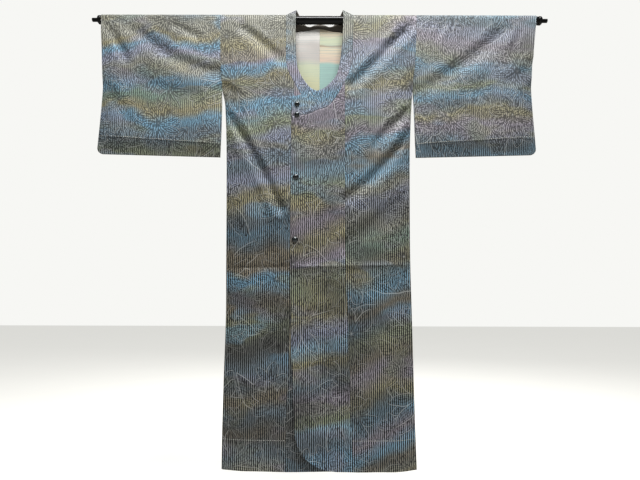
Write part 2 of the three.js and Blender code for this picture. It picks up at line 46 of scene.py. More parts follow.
camera.rotation_euler = (math.radians(96.2), math.radians(-0.15), 0)
bpy.context.scene.collection.objects.link(camera)
bpy.context.scene.camera = camera
bpy.context.scene.view_settings.view_transform = "Standard"


def colour(red, green, blue):
    """A paint colour from 0-255 values to the linear values that a shader takes."""
    linear = [((c / 255 + 0.055) / 1.055) ** 2.4 if c > 10 else c / 3294.6 for c in (red, green, blue)]
    return (*linear, 1.0)


def lamp(name, place, target, size, watts):
    light = bpy.data.lights.new(name, "AREA")
    light.shape = "RECTANGLE"
    light.size, light.size_y = size
    light.energy = watts
    holder = bpy.data.objects.new(name, light)
    aim = np.array(target) - np.array(place)
    holder.location = place
    holder.rotation_euler = (
        math.atan2(math.hypot(aim[0], aim[1]), -aim[2]),
        0,
        math.atan2(aim[1], aim[0]) - math.pi / 2,
    )
    bpy.context.scene.collection.objects.link(holder)


lamp("lamp_above", (0.12, -1.0, 1.5), (0.0, 0, -0.2), (1.6, 0.6), 99)
lamp("lamp_low", (1.3, -2.3, -0.5), (0, 0, -0.8), (1.4, 1.2), 2)
lamp("lamp_behind", (0.4, 2.2, 1.2), (0, 0, -0.5), (2.0, 1.0), 62)

surround = bpy.data.worlds.new("surround")
surround.use_nodes = True
backdrop = surround.node_tree.nodes["Background"]
backdrop.inputs["Color"].default_value = colour(247, 247, 244)
bpy.context.scene.world = surround
seen_strength = 1.0
lit_strength = 0.18

floor_height = -1.56
floor_half = 9.0


def new_piece(name, points, faces, materials=(), smooth=True):
    """A mesh object at the origin from points in metres."""
    mesh = bpy.data.meshes.new(name)
    mesh.from_pydata([tuple(p) for p in points], [], [tuple(f) for f in faces])
    mesh.polygons.foreach_set("use_smooth", [smooth] * len(mesh.polygons))
    for material in materials:
        mesh.materials.append(material)
    piece = bpy.data.objects.new(name, mesh)
    bpy.context.scene.collection.objects.link(piece)
    return piece


def fill(tree, made, inputs):
    """Gives a node's inputs their values or links them to other nodes' sockets."""
    for key, value in inputs.items():
        if isinstance(value, bpy.types.NodeSocket):
            tree.links.new(value, made.inputs[key])
        else:
            made.inputs[key].default_value = value
    return made


def node(tree, kind, inputs=None, **settings):
    """A node whose inputs are values or other nodes' sockets."""
    made = tree.nodes.new(kind)
    for key, value in settings.items():
        setattr(made, key, value)
    return fill(tree, made, inputs or {})


def calc(tree, operation, *values, clamp=False):
    """One step of arithmetic in a node tree."""
    numbered = dict(enumerate(values))
    return node(tree, "ShaderNodeMath", numbered, operation=operation, use_clamp=clamp).outputs[0]


def finish(name, roughness, sockets=None):
    """A material with one Principled shader, and that shader's node."""
    material = bpy.data.materials.new(name)
    material.use_nodes = True
    shader = material.node_tree.nodes["Principled BSDF"]
    shader.inputs["Roughness"].default_value = roughness
    for key, value in (sockets or {}).items():
        shader.inputs[key].default_value = value
    return material, material.node_tree, shader


def two_tone(tree, value, dark, pale):
    """A colour between two others, by a value."""
    tone = node(tree, "ShaderNodeValToRGB", {"Fac": value})
    tone.color_ramp.elements[0].color = colour(*dark)
    tone.color_ramp.elements[1].color = colour(*pale)
    return tone.outputs["Color"]


def mixed(tree, share, first, second):
    """The first colour with a share of the second in it."""
    return node(tree, "ShaderNodeMix", {0: share, 6: first, 7: second}, data_type="RGBA").outputs[2]


seen = node(surround.node_tree, "ShaderNodeLightPath").outputs["Is Camera Ray"]
strength = calc(surround.node_tree, "MULTIPLY_ADD", seen, seen_strength - lit_strength, lit_strength)
surround.node_tree.links.new(strength, backdrop.inputs["Strength"])

plaster, tree, shader = finish("pale_floor", 0.8, {"Emission Strength": 0.66})
speckle = node(tree, "ShaderNodeTexNoise", {"Scale": 3.0, "Detail": 2.0})
tree.links.new(node(tree, "ShaderNodeTexCoord").outputs["Object"], speckle.inputs["Vector"])
tone = two_tone(tree, speckle.outputs["Fac"], (214, 212, 206), (222, 220, 214))
tree.links.new(tone, shader.inputs["Base Color"])
seen = node(tree, "ShaderNodeLightPath").outputs["Is Camera Ray"]
glow = mixed(tree, seen, colour(0, 0, 0), colour(240, 240, 236))
tree.links.new(glow, shader.inputs["Emission Color"])
corners = [(x, y, floor_height) for x, y in ((-1, -1), (1, -1), (1, 1), (-1, 1))]
studio_floor = new_piece("floor", [(x * floor_half, y * floor_half, z) for x, y, z in corners],
                         [(0, 1, 2, 3)], [plaster], smooth=False)

# ---------------------------------------------------------------- body
# Each side of the body is one loom width of figured, ribbed cloth that runs from the front hem
# over the rod to the back hem. The two are sewn to each other down the centre back.
body_outline = [
    (0, 305, 298, 105, 84), (150, 302, 291, 76, 84), (239, 296, 283, 76, 84),
    (290, 286, 279, 76, 84), (451, 278, 271, 76, 83), (755, 272, 267, 76, 83),
    (928, 269, 269, 82, 80), (1100, 271, 271, 86.9, 74), (1240, 272, 273, 90.9, 65),
    (1350, 271, 275, 94, 60),
]
body_stand = [
    (0, 14, 14, 14), (15, 14, 14, 14), (120, 15, 14.5, 13), (190, 16, 15, 10), (225, 16.5, 15, 5),
    (239, 16.7, 15, 1.05), (300, 17.5, 15.5, 1.05), (400, 18, 16, 1.05), (700, 18.5, 16, 1.05),
    (1350, 19.5, 17, 1.05),
]
collar_right = [
    (0, -84, 270, -84, 330), (1, -56, 263, -58, 328), (2, -28, 256, -32, 323),
    (3, 4, 250, -4, 310), (4, 22, 243, 18, 304), (5, 36, 230, 46, 276), (6, 46, 217, 64, 246),
    (7, 54, 204, 76, 223), (8, 64, 183, 92, 194), (9, 71, 145, 102, 153),
    (10, 72.5, 102, 103, 100), (11, 74, 60, 103, 60), (12, 74, 32, 104, 32),
]
collar_left = [
    (0, -84, 270, -84, 330), (1, -56, 263, -58, 328), (2, -28, 255, -32, 323),
    (3, 2, 248, -4, 310), (4, 21, 237, 18, 304), (5, 35, 223, 46, 276), (6, 45, 211, 64, 246),
    (7, 53, 195, 76, 223), (8, 58.5, 174, 89, 192), (9, 63, 145, 98, 153),
    (10, 68, 102, 101, 100), (11, 71, 60, 103, 60), (12, 72, 32, 104, 32),
]
collar_back = [
    (0, 104, 0, 56, 17.5, 12), (1, 95, 13, 49, 19, 1), (2, 80, 26, 41, 20, -8),
    (3, 58, 35, 30, 20.5, -10), (4, 32, 40, 16, 20.5, -4.5), (5, 0, 42, 0, 20, -2),
]
body_front_folds = [
    (-235, 43, -172, 98, -117, 146, 6, 3, 14), (-276, 321, -201, 436, -116, 603, 9, 11, 13),
    (-262, 250, -235, 330, -215, 400, 2, 1, 16), (-169, 560, -160, 640, -150, 740, 4, 2, 18),
    (-288, 226, -262, 244, -236, 262, 3, 1, 9), (-140, 500, -105, 620, -85, 700, 3, 2, 16),
    (288, 16, 190, 133, 98, 229, 10, 7, 15), (274, 302, 202, 371, 165, 418, 10, 4, 13),
    (272, 380, 167, 503, 74, 579, 10, 6, 15), (265, 561, 154, 654, 74, 711, 4, 5, 20),
    (262, 60, 225, 90, 180, 104, 3, 2, 11), (268, 440, 230, 480, 196, 505, 3, 1, 12),
    (-250, 860, -180, 980, -130, 1120, 2, 2.5, 28), (190, 830, 215, 980, 205, 1140, 2.5, 2, 30),
    (20, 840, 10, 980, 30, 1100, 2, 2, 28),
]
body_back_folds = [
    (-262, 70, -190, 130, -130, 175, 5, 3, 20), (268, 48, 200, 118, 138, 190, 5, 3, 20),
    (-262, 310, -180, 450, -80, 580, 9, 7, 16), (256, 350, 165, 470, 70, 600, 9, 7, 16),
    (-269, 420, -215, 500, -170, 560, 3, 1, 14), (250, 262, 215, 320, 190, 400, 3, 2, 14),
    (-60, 120, -20, 260, 10, 420, 2, 2, 30), (120, 700, 135, 860, 120, 1040, 2, 2, 34),
    (-190, 820, -170, 960, -185, 1120, 2, 2, 34),
]
shoulder_top = 15.1
hang_radius = 14.2
cloth_wall = 1.8
seam_depth = 1.05
seam_gap = 0.1
body_ramp = 75
neck_drop = 223
neck_side = 104.0
panel_width = 200
coat_length = 1345
crease_drop = 778
hem_turn_drop = 1262
cloth_step = 5.5


def table(columns, rows):
    return dict(zip(columns.split(), np.array(rows, float).T))


def read(rows, key, value, column):
    """A smooth curve through one column of a table, with no overshoot."""
    x, y = rows[key], rows[column]
    slope = np.diff(y) / np.diff(x)
    before, after = slope[:-1], slope[1:]
    tangent = np.r_[slope[0], np.zeros(len(before)), slope[-1]]
    same = before * after > 0
    tangent[1:-1][same] = (2 * before * after)[same] / (before + after)[same]
    index = np.clip(np.searchsorted(x, value, side="right") - 1, 0, len(x) - 2)
    span = x[index + 1] - x[index]
    t = np.clip((value - x[index]) / span, 0, 1)
    ends = (1 + 2 * t) * (1 - t) ** 2 * y[index] + t * t * (3 - 2 * t) * y[index + 1]
    leans = t * (1 - t) ** 2 * tangent[index] + t * t * (t - 1) * tangent[index + 1]
    return ends + leans * span


body_outline = table("drop side_right side_left seam edge", body_outline)
body_stand = table("drop front back side", body_stand)
collar_right = table("row rim_x rim_drop seam_x seam_drop", collar_right)
collar_left = table("row rim_x rim_drop seam_x seam_drop", collar_left)
collar_back = table("row seam_x seam_depth rim_x rim_y rim_z", collar_back)


def smooth(value, start, full):
    share = np.clip((value - start) / (full - start), 0, 1)
    return share * share * (3 - 2 * share)


fold_stations = 9
fold_lean = 0.28
ridge_height = 0.4
ridge_offset = 1.75


def drawn_in(folds, x, drop):
    """How far soft troughs, each steeper above and with a low ridge beside it, draw the cloth in."""
    total = np.zeros(np.broadcast(x, drop).shape)
    t = np.linspace(0, 1, fold_stations)
    weights = np.array([(1 - t) * (1 - 2 * t), 4 * t * (1 - t), t * (2 * t - 1)])
    for x1, drop1, x2, drop2, x3, drop3, start, end, width in folds:
        line = np.array([(x1, drop1), (x2, drop2), (x3, drop3)]).T @ weights
        nearest = np.full(total.shape, np.inf)
        along = np.zeros(total.shape)
        side = np.zeros(total.shape)
        for piece in range(fold_stations - 1):
            from_x, from_drop = line[:, piece]
            span_x, span_drop = line[:, piece + 1] - line[:, piece]
            run = (x - from_x) * span_x + (drop - from_drop) * span_drop
            share = np.clip(run / (span_x ** 2 + span_drop ** 2), 0, 1)
            off_x = x - from_x - share * span_x
            off_drop = drop - from_drop - share * span_drop
            distance = np.hypot(off_x, off_drop)
            closer = distance < nearest
            nearest = np.where(closer, distance, nearest)
            along = np.where(closer, (piece + share) / (fold_stations - 1), along)
            side = np.where(closer, -off_drop / (distance + 0.01), side)
        reach = nearest / width * (1 + fold_lean * side)
        trough = np.exp(-reach ** 2) - ridge_height * np.exp(-(reach - ridge_offset) ** 2)
        total += (start + (end - start) * along) * trough
    return total * smooth(drop, 15, 70)


def slack(x, drop, phase):
    """The slight uneven fullness that hanging cloth has between its folds."""
    broad = np.sin(x / 37 + 1.3 * np.sin(drop / 210 + phase) + phase)
    fine = np.sin(x / 17 + drop / 95 + 2.1 * np.sin(drop / 160 - phase))
    return (0.7 * broad + 0.3 * fine) * smooth(drop, 60, 260)


def hem_wave(x, drop):
    return 2.4 * np.sin(x / 43) * smooth(drop, 1120, coat_length)


def storage_crease(x, drop, depth):
    """The line where the coat was folded for keeping: a ridge on the left, a slight valley on the right."""
    away = np.abs(drop - crease_drop + 0.02 * x)
    share = smooth(x, -100, -60)
    return depth * (-7.5 * np.exp(-away / 15) * share + 5.0 * np.exp(-away / 11) * (1 - share))


def hem_turning(drop):
    """The line where the turned-up hem is caught down inside."""
    return 0.6 * np.exp(-((drop - hem_turn_drop) / 4) ** 2)


def pressed(stand, drawn):
    """Folds press in fully where the cloth stands clear, and not at all where front meets back."""
    return np.maximum(stand - drawn * smooth(stand, seam_depth, 10), seam_depth)


def body_out(face, x, drop):
    """Distance of a body panel's mid-surface from the middle plane."""
    wide = np.where(x < 0, read(body_outline, "drop", drop, "side_right"),
                    read(body_outline, "drop", drop, "side_left"))
    side = read(body_stand, "drop", drop, "side")
    middle = read(body_stand, "drop", drop, face)
    rise = np.sin(np.clip((wide - np.abs(x)) / body_ramp, 0, 1) * math.pi / 2)
    folds = body_front_folds if face == "front" else body_back_folds
    phase = 0.4 if face == "front" else 2.6
    drawn = drawn_in(folds, x, drop) + hem_wave(x, drop) + hem_turning(drop)
    drawn = drawn + storage_crease(x, drop, 1.0 if face == "front" else 0.4) + slack(x, drop, phase)
    return pressed(side + (middle - side) * rise, drawn)


overlap_reach = 84
layer_lift = 5
edge_lift = 3.4
loose_edge_lift = 10


def front_y(x, drop, lifted):
    """The left front lies over the right one."""
    y = -body_out("front", x, drop)
    if not lifted:
        return y
    amount = (1 - smooth(x, 100, 170)) * smooth(drop, 130, 232)
    near_edge = smooth(-x, overlap_reach - 34, overlap_reach)
    loose = loose_edge_lift * smooth(-x, -60, 75) * smooth(drop, 900, 1330)
    return y - amount * (layer_lift + (edge_lift - layer_lift) * near_edge) - loose


def runs(start, end, step=cloth_step):
    return np.linspace(start, end, max(2, round(abs(end - start) / step) + 1))


rim_offsets = (0.7, 2.0)
rim_shares = (0.4, 0.8)


def finer(values, *bands):
    """Closer lines where a crease is tight; each band is its middle, half height and step."""
    for middle, half, step in bands:
        values = values[np.abs(values - middle) > half]
        values = np.sort(np.concatenate([values, np.arange(middle - half, middle + half + step / 2, step)]))
    return values


tight_creases = ((crease_drop, 18, 2.0), (hem_turn_drop, 9, 1.5))


def with_rims(values):
    """Adds lines close to both ends of a run, where a sewn or turned edge rounds over."""
    sign = 1 if values[-1] > values[0] else -1
    inner = values[(np.abs(values - values[0]) > 3) & (np.abs(values - values[-1]) > 3)]
    start = [values[0], *(values[0] + sign * offset for offset in rim_offsets)]
    end = [*(values[-1] - sign * offset for offset in reversed(rim_offsets)), values[-1]]
    return np.array([*start, *inner, *end])


def edge_thinning(count):
    share = np.ones(count)
    for index, value in enumerate(rim_shares):
        share[index] = share[-1 - index] = value
    return share


def cloth_shell(name, points, outward, path, materials, wall=cloth_wall):
    """A closed shell of cloth on a grid of points, with its own flat cut as UV in metres."""
    rows, columns = points.shape[:2]
    thick = np.minimum.outer(edge_thinning(rows), edge_thinning(columns))[..., None] * wall / 2
    flat = np.stack([points[..., 0], np.broadcast_to(path, (rows, columns))], -1)
    faces_of_wall = (points + outward * thick, points - outward * thick)
    layers = np.concatenate([wall_face.reshape(-1, 3) for wall_face in faces_of_wall])
    index = np.arange(rows * columns).reshape(rows, columns)
    quads = np.stack([index[:-1, :-1], index[1:, :-1], index[1:, 1:], index[:-1, 1:]], -1).reshape(-1, 4)
    rim = np.concatenate([index[0, :-1], index[:-1, -1], index[-1, :0:-1], index[:0:-1, 0]])
    beyond = np.roll(rim, -1)
    count = rows * columns
    edges = np.stack([rim, beyond, beyond + count, rim + count], -1)
    faces = np.concatenate([quads, quads[:, ::-1] + count, edges])
    a, b, c, d = (layers[faces[:, corner]] for corner in range(4))
    if np.sum(np.einsum("ij,ij->i", a, np.cross(b, c)) + np.einsum("ij,ij->i", a, np.cross(c, d))) < 0:
        faces = faces[:, ::-1]
    piece = new_piece(name, layers * 0.001, faces.tolist(), materials)
    uv = np.concatenate([flat.reshape(-1, 2)] * 2) * 0.001
    cut = piece.data.uv_layers.new(name="cut")
    cut.data.foreach_set("uv", uv[faces.ravel()].ravel())
    inside = np.arange(len(faces))
    second = (inside >= len(quads)) & (inside < 2 * len(quads))
    if len(materials) > 1:
        piece.data.polygons.foreach_set("material_index", second.astype(np.int32))
    return piece


def over_rod(turns):
    """Points and outward directions of the cloth where it lies over the rod."""
    angle = np.radians(turns)[:, None]
    out = np.stack([0 * angle, -np.cos(angle), np.sin(angle)], -1)
    return out * hang_radius, out


rod_turns = np.linspace(12, 168, 14)
front_way = np.array([0.0, -1.0, 0.0])
back_way = np.array([0.0, 1.0, 0.0])
arc_length = math.pi * hang_radius


def joined_faces(front, top_x, back):
    """Front, over the rod and back as one grid; each part is (x, y, z, path)."""
    top, out = over_rod(rod_turns)
    top = np.broadcast_to(top, (*top_x.shape, 3)).copy()
    top[..., 0] = top_x
    way = np.broadcast_to(out, top.shape)
    front_points = np.stack(front[:3], -1)
    back_points = np.stack(back[:3], -1)
    points = np.concatenate([front_points, top, back_points])
    ways = np.concatenate([np.broadcast_to(front_way, front_points.shape), way,
                           np.broadcast_to(back_way, back_points.shape)])
    top_path = shoulder_top - np.radians(rod_turns)[:, None] * hang_radius + 0 * top_x
    path = np.concatenate([front[3], top_path, back[3]])
    return points, ways, path


def neck_side_front(collar):
    """Drops and seam positions down the neck seam, from the rod to where the overlap begins."""
    rows = runs(12, 7, 0.14)
    return read(collar, "row", rows, "seam_drop"), read(collar, "row", rows, "seam_x")


def body_panel(name, side, collar, materials):
    neck_drops, neck_x = neck_side_front(collar)
    lower = with_rims(finer(runs(neck_drop, coat_length), *tight_creases))[3:]
    drops = np.concatenate([neck_drops, lower])[::-1]
    inner = np.concatenate([neck_x, read(body_outline, "drop", lower, "seam")])[::-1]
    outline = "side_left" if side > 0 else "side_right"
    shares = with_rims(runs(0, panel_width)) / panel_width

    def across(inner_edge, drops_here):
        outer_edge = read(body_outline, "drop", drops_here, outline) - seam_gap / 2
        inner_edge = inner_edge + seam_gap / 2
        return side * (inner_edge[:, None] + (outer_edge - inner_edge)[:, None] * shares)

    x = across(inner, drops)
    drop = np.broadcast_to(drops[:, None], x.shape)
    front = (x, front_y(x, drop, side > 0), shoulder_top - drop, drop)
    lower_back = with_rims(finer(runs(62, coat_length), *tight_creases))[2:]
    back_drops = np.concatenate([runs(1.5, 42, 4) + shoulder_top, lower_back])
    neck_back_x = np.interp(back_drops - shoulder_top, collar_back["seam_depth"], collar_back["seam_x"])
    x_back = across(neck_back_x, back_drops)
    back_drop = np.broadcast_to(back_drops[:, None], x_back.shape)
    back = (x_back, body_out("back", x_back, back_drop), shoulder_top - back_drop,
            2 * shoulder_top - arc_length - back_drop)
    top_x = across(np.full(len(rod_turns), neck_side), np.zeros(len(rod_turns)))
    return cloth_shell(name, *joined_faces(front, top_x, back), materials)


def sums(tree):
    """Arithmetic in one node tree: takes the operation, then its values."""
    return lambda *step, **more: calc(tree, *step, **more)


def group(name, inputs, outputs):
    """A new shader node group: its tree, its arithmetic and the sockets that it reads and writes."""
    tree = bpy.data.node_groups.new(name, "ShaderNodeTree")
    for label, value in inputs.items():
        kind = "NodeSocketVector" if value is None else "NodeSocketFloat"
        socket = tree.interface.new_socket(label, in_out="INPUT", socket_type=kind)
        if value is not None:
            socket.default_value = value
    for label in outputs:
        tree.interface.new_socket(label, in_out="OUTPUT", socket_type="NodeSocketFloat")
    given = tree.nodes.new("NodeGroupInput").outputs
    result = tree.nodes.new("NodeGroupOutput").inputs
    return tree, sums(tree), given, result


def placed(tree, kind, inputs):
    """A node group set into a tree, with its own values."""
    made = tree.nodes.new("ShaderNodeGroup")
    made.node_tree = kind
    return fill(tree, made, inputs)


def vector_step(tree, operation, first, second):
    """One step of vector arithmetic in a node tree; a scale takes a number second."""
    key = 3 if operation == "SCALE" else 1
    return node(tree, "ShaderNodeVectorMath", {0: first, key: second}, operation=operation).outputs[0]


def on_cut(tree):
    """Places on the flat cut of a cloth, in metres."""
    return node(tree, "ShaderNodeUVMap", uv_map="cut").outputs[0]


def bumped(tree, shader, height, strength, distance):
    """Fine relief on a surface."""
    bump = node(tree, "ShaderNodeBump", {"Strength": strength, "Distance": distance, "Height": height})
    tree.links.new(bump.outputs[0], shader.inputs["Normal"])


def stretched(tree, vector, across, along, shift=0.0):
    return node(tree, "ShaderNodeMapping", {"Vector": vector, "Scale": (across, along, 1.0),
                                             "Location": (shift, shift * 0.7, 0.0)}).outputs[0]


def noise(tree, vector, scale, detail=1.0, roughness=0.5):
    return node(tree, "ShaderNodeTexNoise", {"Vector": vector, "Scale": scale, "Detail": detail,
                                              "Roughness": roughness}, noise_dimensions="2D").outputs["Fac"]


def step_up(tree, value, start, full):
    return node(tree, "ShaderNodeMapRange", {"Value": value, "From Min": start, "From Max": full},
                interpolation_type="SMOOTHSTEP").outputs[0]


def thin_line(tree, distance, width):
    """1 on a line where the distance is 0, fading to 0 at its width."""
    return calc(tree, "SUBTRACT", 1.0, step_up(tree, calc(tree, "ABSOLUTE", distance), 0.0, width))


# Ribs of a pale thread group and a dark hollow to each turn, with slubs along them. Where the
# figure lies its own ribs, counted by Drawn, are laid over the straight ones.
rib_weave, do, given, result = group(
    "rib_weave", {"Vector": None, "Turns": 0.0, "Drawn": 0.0, "Share": 0.0, "Slub": 0.8}, ["Rib", "Height"])
straight = do("SINE", do("MULTIPLY", given["Turns"], 2 * math.pi))
curved = do("SINE", do("MULTIPLY", given["Drawn"], 2 * math.pi))
rest = do("SUBTRACT", 1.0, given["Share"])
wave = do("MULTIPLY_ADD", curved, given["Share"], do("MULTIPLY", straight, rest))
slub = noise(rib_weave, stretched(rib_weave, given["Vector"], 190.0, 110.0), 1.0, 2.0)
slub = do("MULTIPLY", do("SUBTRACT", slub, 0.5), given["Slub"])
slubbed = do("MULTIPLY_ADD", wave, 0.5, slub)
rib_weave.links.new(step_up(rib_weave, slubbed, -0.02, 0.32), result["Rib"])
rib_weave.links.new(do("MULTIPLY_ADD", wave, 0.5, 0.5), result["Height"])

# Where a point lies in the run of dye bands, which wander and lean as brushed dye does.
dye_drift, do, given, result = group(
    "dye_drift", {"Vector": None, "Lean": 0.0, "Run": 1.36, "Shift": 0.0}, ["Place"])
across, along, _ = node(dye_drift, "ShaderNodeSeparateXYZ", {0: given["Vector"]}).outputs
broad = noise(dye_drift, stretched(dye_drift, given["Vector"], 6.5, 4.0, 3.1), 1.0, 1.0)
ragged = noise(dye_drift, stretched(dye_drift, given["Vector"], 30.0, 50.0, 1.7), 1.0, 2.0)
leaned = do("MULTIPLY_ADD", across, given["Lean"], along)
wandered = do("MULTIPLY_ADD", do("SUBTRACT", broad, 0.5), 0.09, leaned)
wandered = do("MULTIPLY_ADD", do("SUBTRACT", ragged, 0.5), 0.018, wandered)
place = do("ADD", do("DIVIDE", wandered, given["Run"]), given["Shift"])
dye_drift.links.new(do("FRACT", place), result["Place"])

# Cloudy patches of a second dye, and which dye each of them is.
dye_patch, _, given, result = group("dye_patch", {"Vector": None, "Shift": 0.0}, ["Patch", "Which"])
offset = node(dye_patch, "ShaderNodeCombineXYZ", {0: given["Shift"], 1: given["Shift"]}).outputs[0]
moved = vector_step(dye_patch, "ADD", given["Vector"], offset)
cloud = noise(dye_patch, stretched(dye_patch, moved, 5.5, 13.0), 1.0, 2.0)
which = noise(dye_patch, stretched(dye_patch, moved, 3.0, 5.0, 8.0), 1.0, 0.0)
dye_patch.links.new(step_up(dye_patch, cloud, 0.5, 0.62), result["Patch"])
dye_patch.links.new(which, result["Which"])

# Flowers of long pointed petals, one to a cell, each turned its own way. Inside a petal the ribs
# run along its edges; Turns counts them.
rib_pitch = 0.00595
drawn_pitch = 0.0072


def scattered(tree, points, cells, jitter, channel):
    """Each point's way from the middle of its own jittered cell, and a chance value of that cell."""
    scaled = vector_step(tree, "SCALE", points, cells)
    cell = node(tree, "ShaderNodeTexVoronoi", {"Vector": scaled, "Scale": 1.0, "Randomness": jitter},
                voronoi_dimensions="2D")
    away = vector_step(tree, "SUBTRACT", scaled, cell.outputs["Position"])
    return away, node(tree, "ShaderNodeSeparateColor", {0: cell.outputs["Color"]}).outputs[channel]


line_flower, do, given, result = group(
    "line_flower", {"Vector": None, "Cells": 5.0, "Petals": 11.0, "Reach": 0.42, "Wide": 0.07,
                    "Line": 0.009, "Turn": 0.0}, ["Line", "Shade", "Inside", "Turns"])
away, chance = scattered(line_flower, given["Vector"], given["Cells"], 0.3, 0)
away_x, away_y, _ = node(line_flower, "ShaderNodeSeparateXYZ", {0: away}).outputs
radius = do("SQRT", do("MULTIPLY_ADD", away_x, away_x, do("MULTIPLY", away_y, away_y)))
angle = do("DIVIDE", do("ARCTAN2", away_y, away_x), 2 * math.pi)
angle = do("ADD", do("ADD", angle, chance), given["Turn"])
bent = do("MULTIPLY_ADD", radius, 0.12, angle)
sector = do("SUBTRACT", do("FRACT", do("MULTIPLY", bent, given["Petals"])), 0.5)
aside = do("MULTIPLY", do("DIVIDE", sector, given["Petals"]), do("MULTIPLY", radius, 2 * math.pi))
size = do("MULTIPLY_ADD", chance, 0.35, 0.8)
reach = do("DIVIDE", radius, do("MULTIPLY", given["Reach"], size))
reach_in = do("MINIMUM", reach, 1.0)
swell = do("SINE", do("MULTIPLY", do("POWER", reach_in, 1.3), math.pi))
half = do("MULTIPLY", do("POWER", do("MAXIMUM", swell, 0.0), 0.75), given["Wide"])
beyond = do("SUBTRACT", do("ABSOLUTE", aside), half)
within = do("LESS_THAN", reach, 1.0)
outline = do("MULTIPLY", thin_line(line_flower, beyond, given["Line"]), within)
vein = do("MULTIPLY", thin_line(line_flower, aside, given["Line"]), do("LESS_THAN", reach, 0.7))
line_flower.links.new(outline, result["Line"])
outside = do("SUBTRACT", beyond, do("MULTIPLY", given["Line"], 1.5))
edge = do("MULTIPLY", thin_line(line_flower, outside, given["Line"]), do("LESS_THAN", reach, 1.08))
line_flower.links.new(do("MAXIMUM", edge, vein), result["Shade"])
line_flower.links.new(do("MULTIPLY", do("LESS_THAN", beyond, 0.0), within), result["Inside"])
in_metres = do("DIVIDE", beyond, given["Cells"])
line_flower.links.new(do("DIVIDE", in_metres, drawn_pitch), result["Turns"])

# Lance-shaped leaves with a midrib, scattered and turned at random; their ribs slant as veins do.
lance_leaf, do, given, result = group(
    "lance_leaf", {"Vector": None, "Cells": 7.0, "Long": 0.8, "Wide": 0.13, "Line": 0.012},
    ["Line", "Shade", "Inside", "Turns"])
away, chance = scattered(lance_leaf, given["Vector"], given["Cells"], 0.5, 1)
turn = do("MULTIPLY", chance, 6.28)
turned = node(lance_leaf, "ShaderNodeVectorRotate", {"Vector": away, "Angle": turn},
              rotation_type="Z_AXIS").outputs[0]
lengthwise, aside, _ = node(lance_leaf, "ShaderNodeSeparateXYZ", {0: turned}).outputs
bow = do("MULTIPLY", lengthwise, lengthwise)
aside = do("ABSOLUTE", do("MULTIPLY_ADD", bow, 0.35, aside))
place = do("ADD", do("DIVIDE", lengthwise, given["Long"]), 0.5, clamp=True)
half = do("MULTIPLY", do("SINE", do("MULTIPLY", place, math.pi)), given["Wide"])
beyond = do("SUBTRACT", aside, half)
inside = do("LESS_THAN", beyond, 0.0)
midrib = do("MULTIPLY", thin_line(lance_leaf, aside, given["Line"]), inside)
slant = do("DIVIDE", do("MULTIPLY_ADD", lengthwise, 0.6, aside), given["Cells"])
ends = do("MULTIPLY", do("GREATER_THAN", place, 0.001), do("LESS_THAN", place, 0.999))
outline = do("MULTIPLY", thin_line(lance_leaf, beyond, given["Line"]), ends)
lance_leaf.links.new(outline, result["Line"])
lance_leaf.links.new(midrib, result["Shade"])
lance_leaf.links.new(inside, result["Inside"])
lance_leaf.links.new(do("DIVIDE", slant, drawn_pitch), result["Turns"])

# The whole woven figure: double flowers over smaller flowers over leaves, drawn by a slightly
# unsteady hand.
woven_figure, do, given, result = group(
    "woven_figure", {"Vector": None}, ["Line", "Shade", "Inside", "Turns"])
unsteady = node(woven_figure, "ShaderNodeTexNoise", {"Vector": given["Vector"], "Scale": 14.0, "Detail": 1.0},
                noise_dimensions="2D").outputs["Color"]
sway = vector_step(woven_figure, "SUBTRACT", unsteady, (0.5, 0.5, 0.5))
sway = vector_step(woven_figure, "SCALE", sway, 0.022)
drawn_on = vector_step(woven_figure, "ADD", given["Vector"], sway)


def layer(kind, shift, values):
    moved = vector_step(woven_figure, "ADD", drawn_on, (shift, shift * 0.6, 0.0))
    return placed(woven_figure, kind, {"Vector": moved, **values}).outputs


layers = [
    layer(line_flower, 0.0, {"Cells": 5.4, "Petals": 8.0, "Reach": 0.46, "Wide": 0.09}),
    layer(line_flower, 0.0, {"Cells": 5.4, "Petals": 8.0, "Reach": 0.42, "Wide": 0.085, "Turn": 0.0625}),
    layer(line_flower, 0.37, {"Cells": 7.6, "Petals": 6.0, "Reach": 0.42, "Wide": 0.11, "Line": 0.012}),
    layer(lance_leaf, 0.11, {"Cells": 6.0, "Long": 0.95, "Wide": 0.15, "Line": 0.011}),
]
line, shade, covered = layers[0]["Line"], layers[0]["Shade"], layers[0]["Inside"]
turns = do("MULTIPLY", layers[0]["Turns"], covered)
for under in layers[1:]:
    free = do("SUBTRACT", 1.0, covered)
    line = do("MAXIMUM", line, do("MULTIPLY", under["Line"], free))
    shade = do("MAXIMUM", shade, do("MULTIPLY", under["Shade"], free))
    own = do("MULTIPLY", under["Inside"], free)
    turns = do("MULTIPLY_ADD", under["Turns"], own, turns)
    covered = do("MAXIMUM", covered, under["Inside"])
woven_figure.links.new(turns, result["Turns"])
woven_figure.links.new(line, result["Line"])
woven_figure.links.new(shade, result["Shade"])
woven_figure.links.new(covered, result["Inside"])

dyes = {
    "slate": colour(112, 129, 142), "blue": colour(112, 154, 180), "sky": colour(142, 176, 196),
    "lilac": colour(141, 147, 168), "mauve": colour(142, 134, 147), "taupe": colour(143, 142, 129),
    "brown": colour(122, 113, 97), "gold": colour(150, 143, 112), "olive": colour(134, 141, 117),
    "green": colour(116, 138, 124), "grey": colour(126, 130, 126), "ink": colour(78, 79, 77),
}
ground_thread = colour(20, 20, 21)
undyed_thread = colour(206, 208, 206)
painted_tuck_shade = colour(58, 58, 54)
patch_dyes = [(0.3, "blue"), (0.42, "lilac"), (0.5, "mauve"), (0.58, "olive"), (0.7, "gold")]


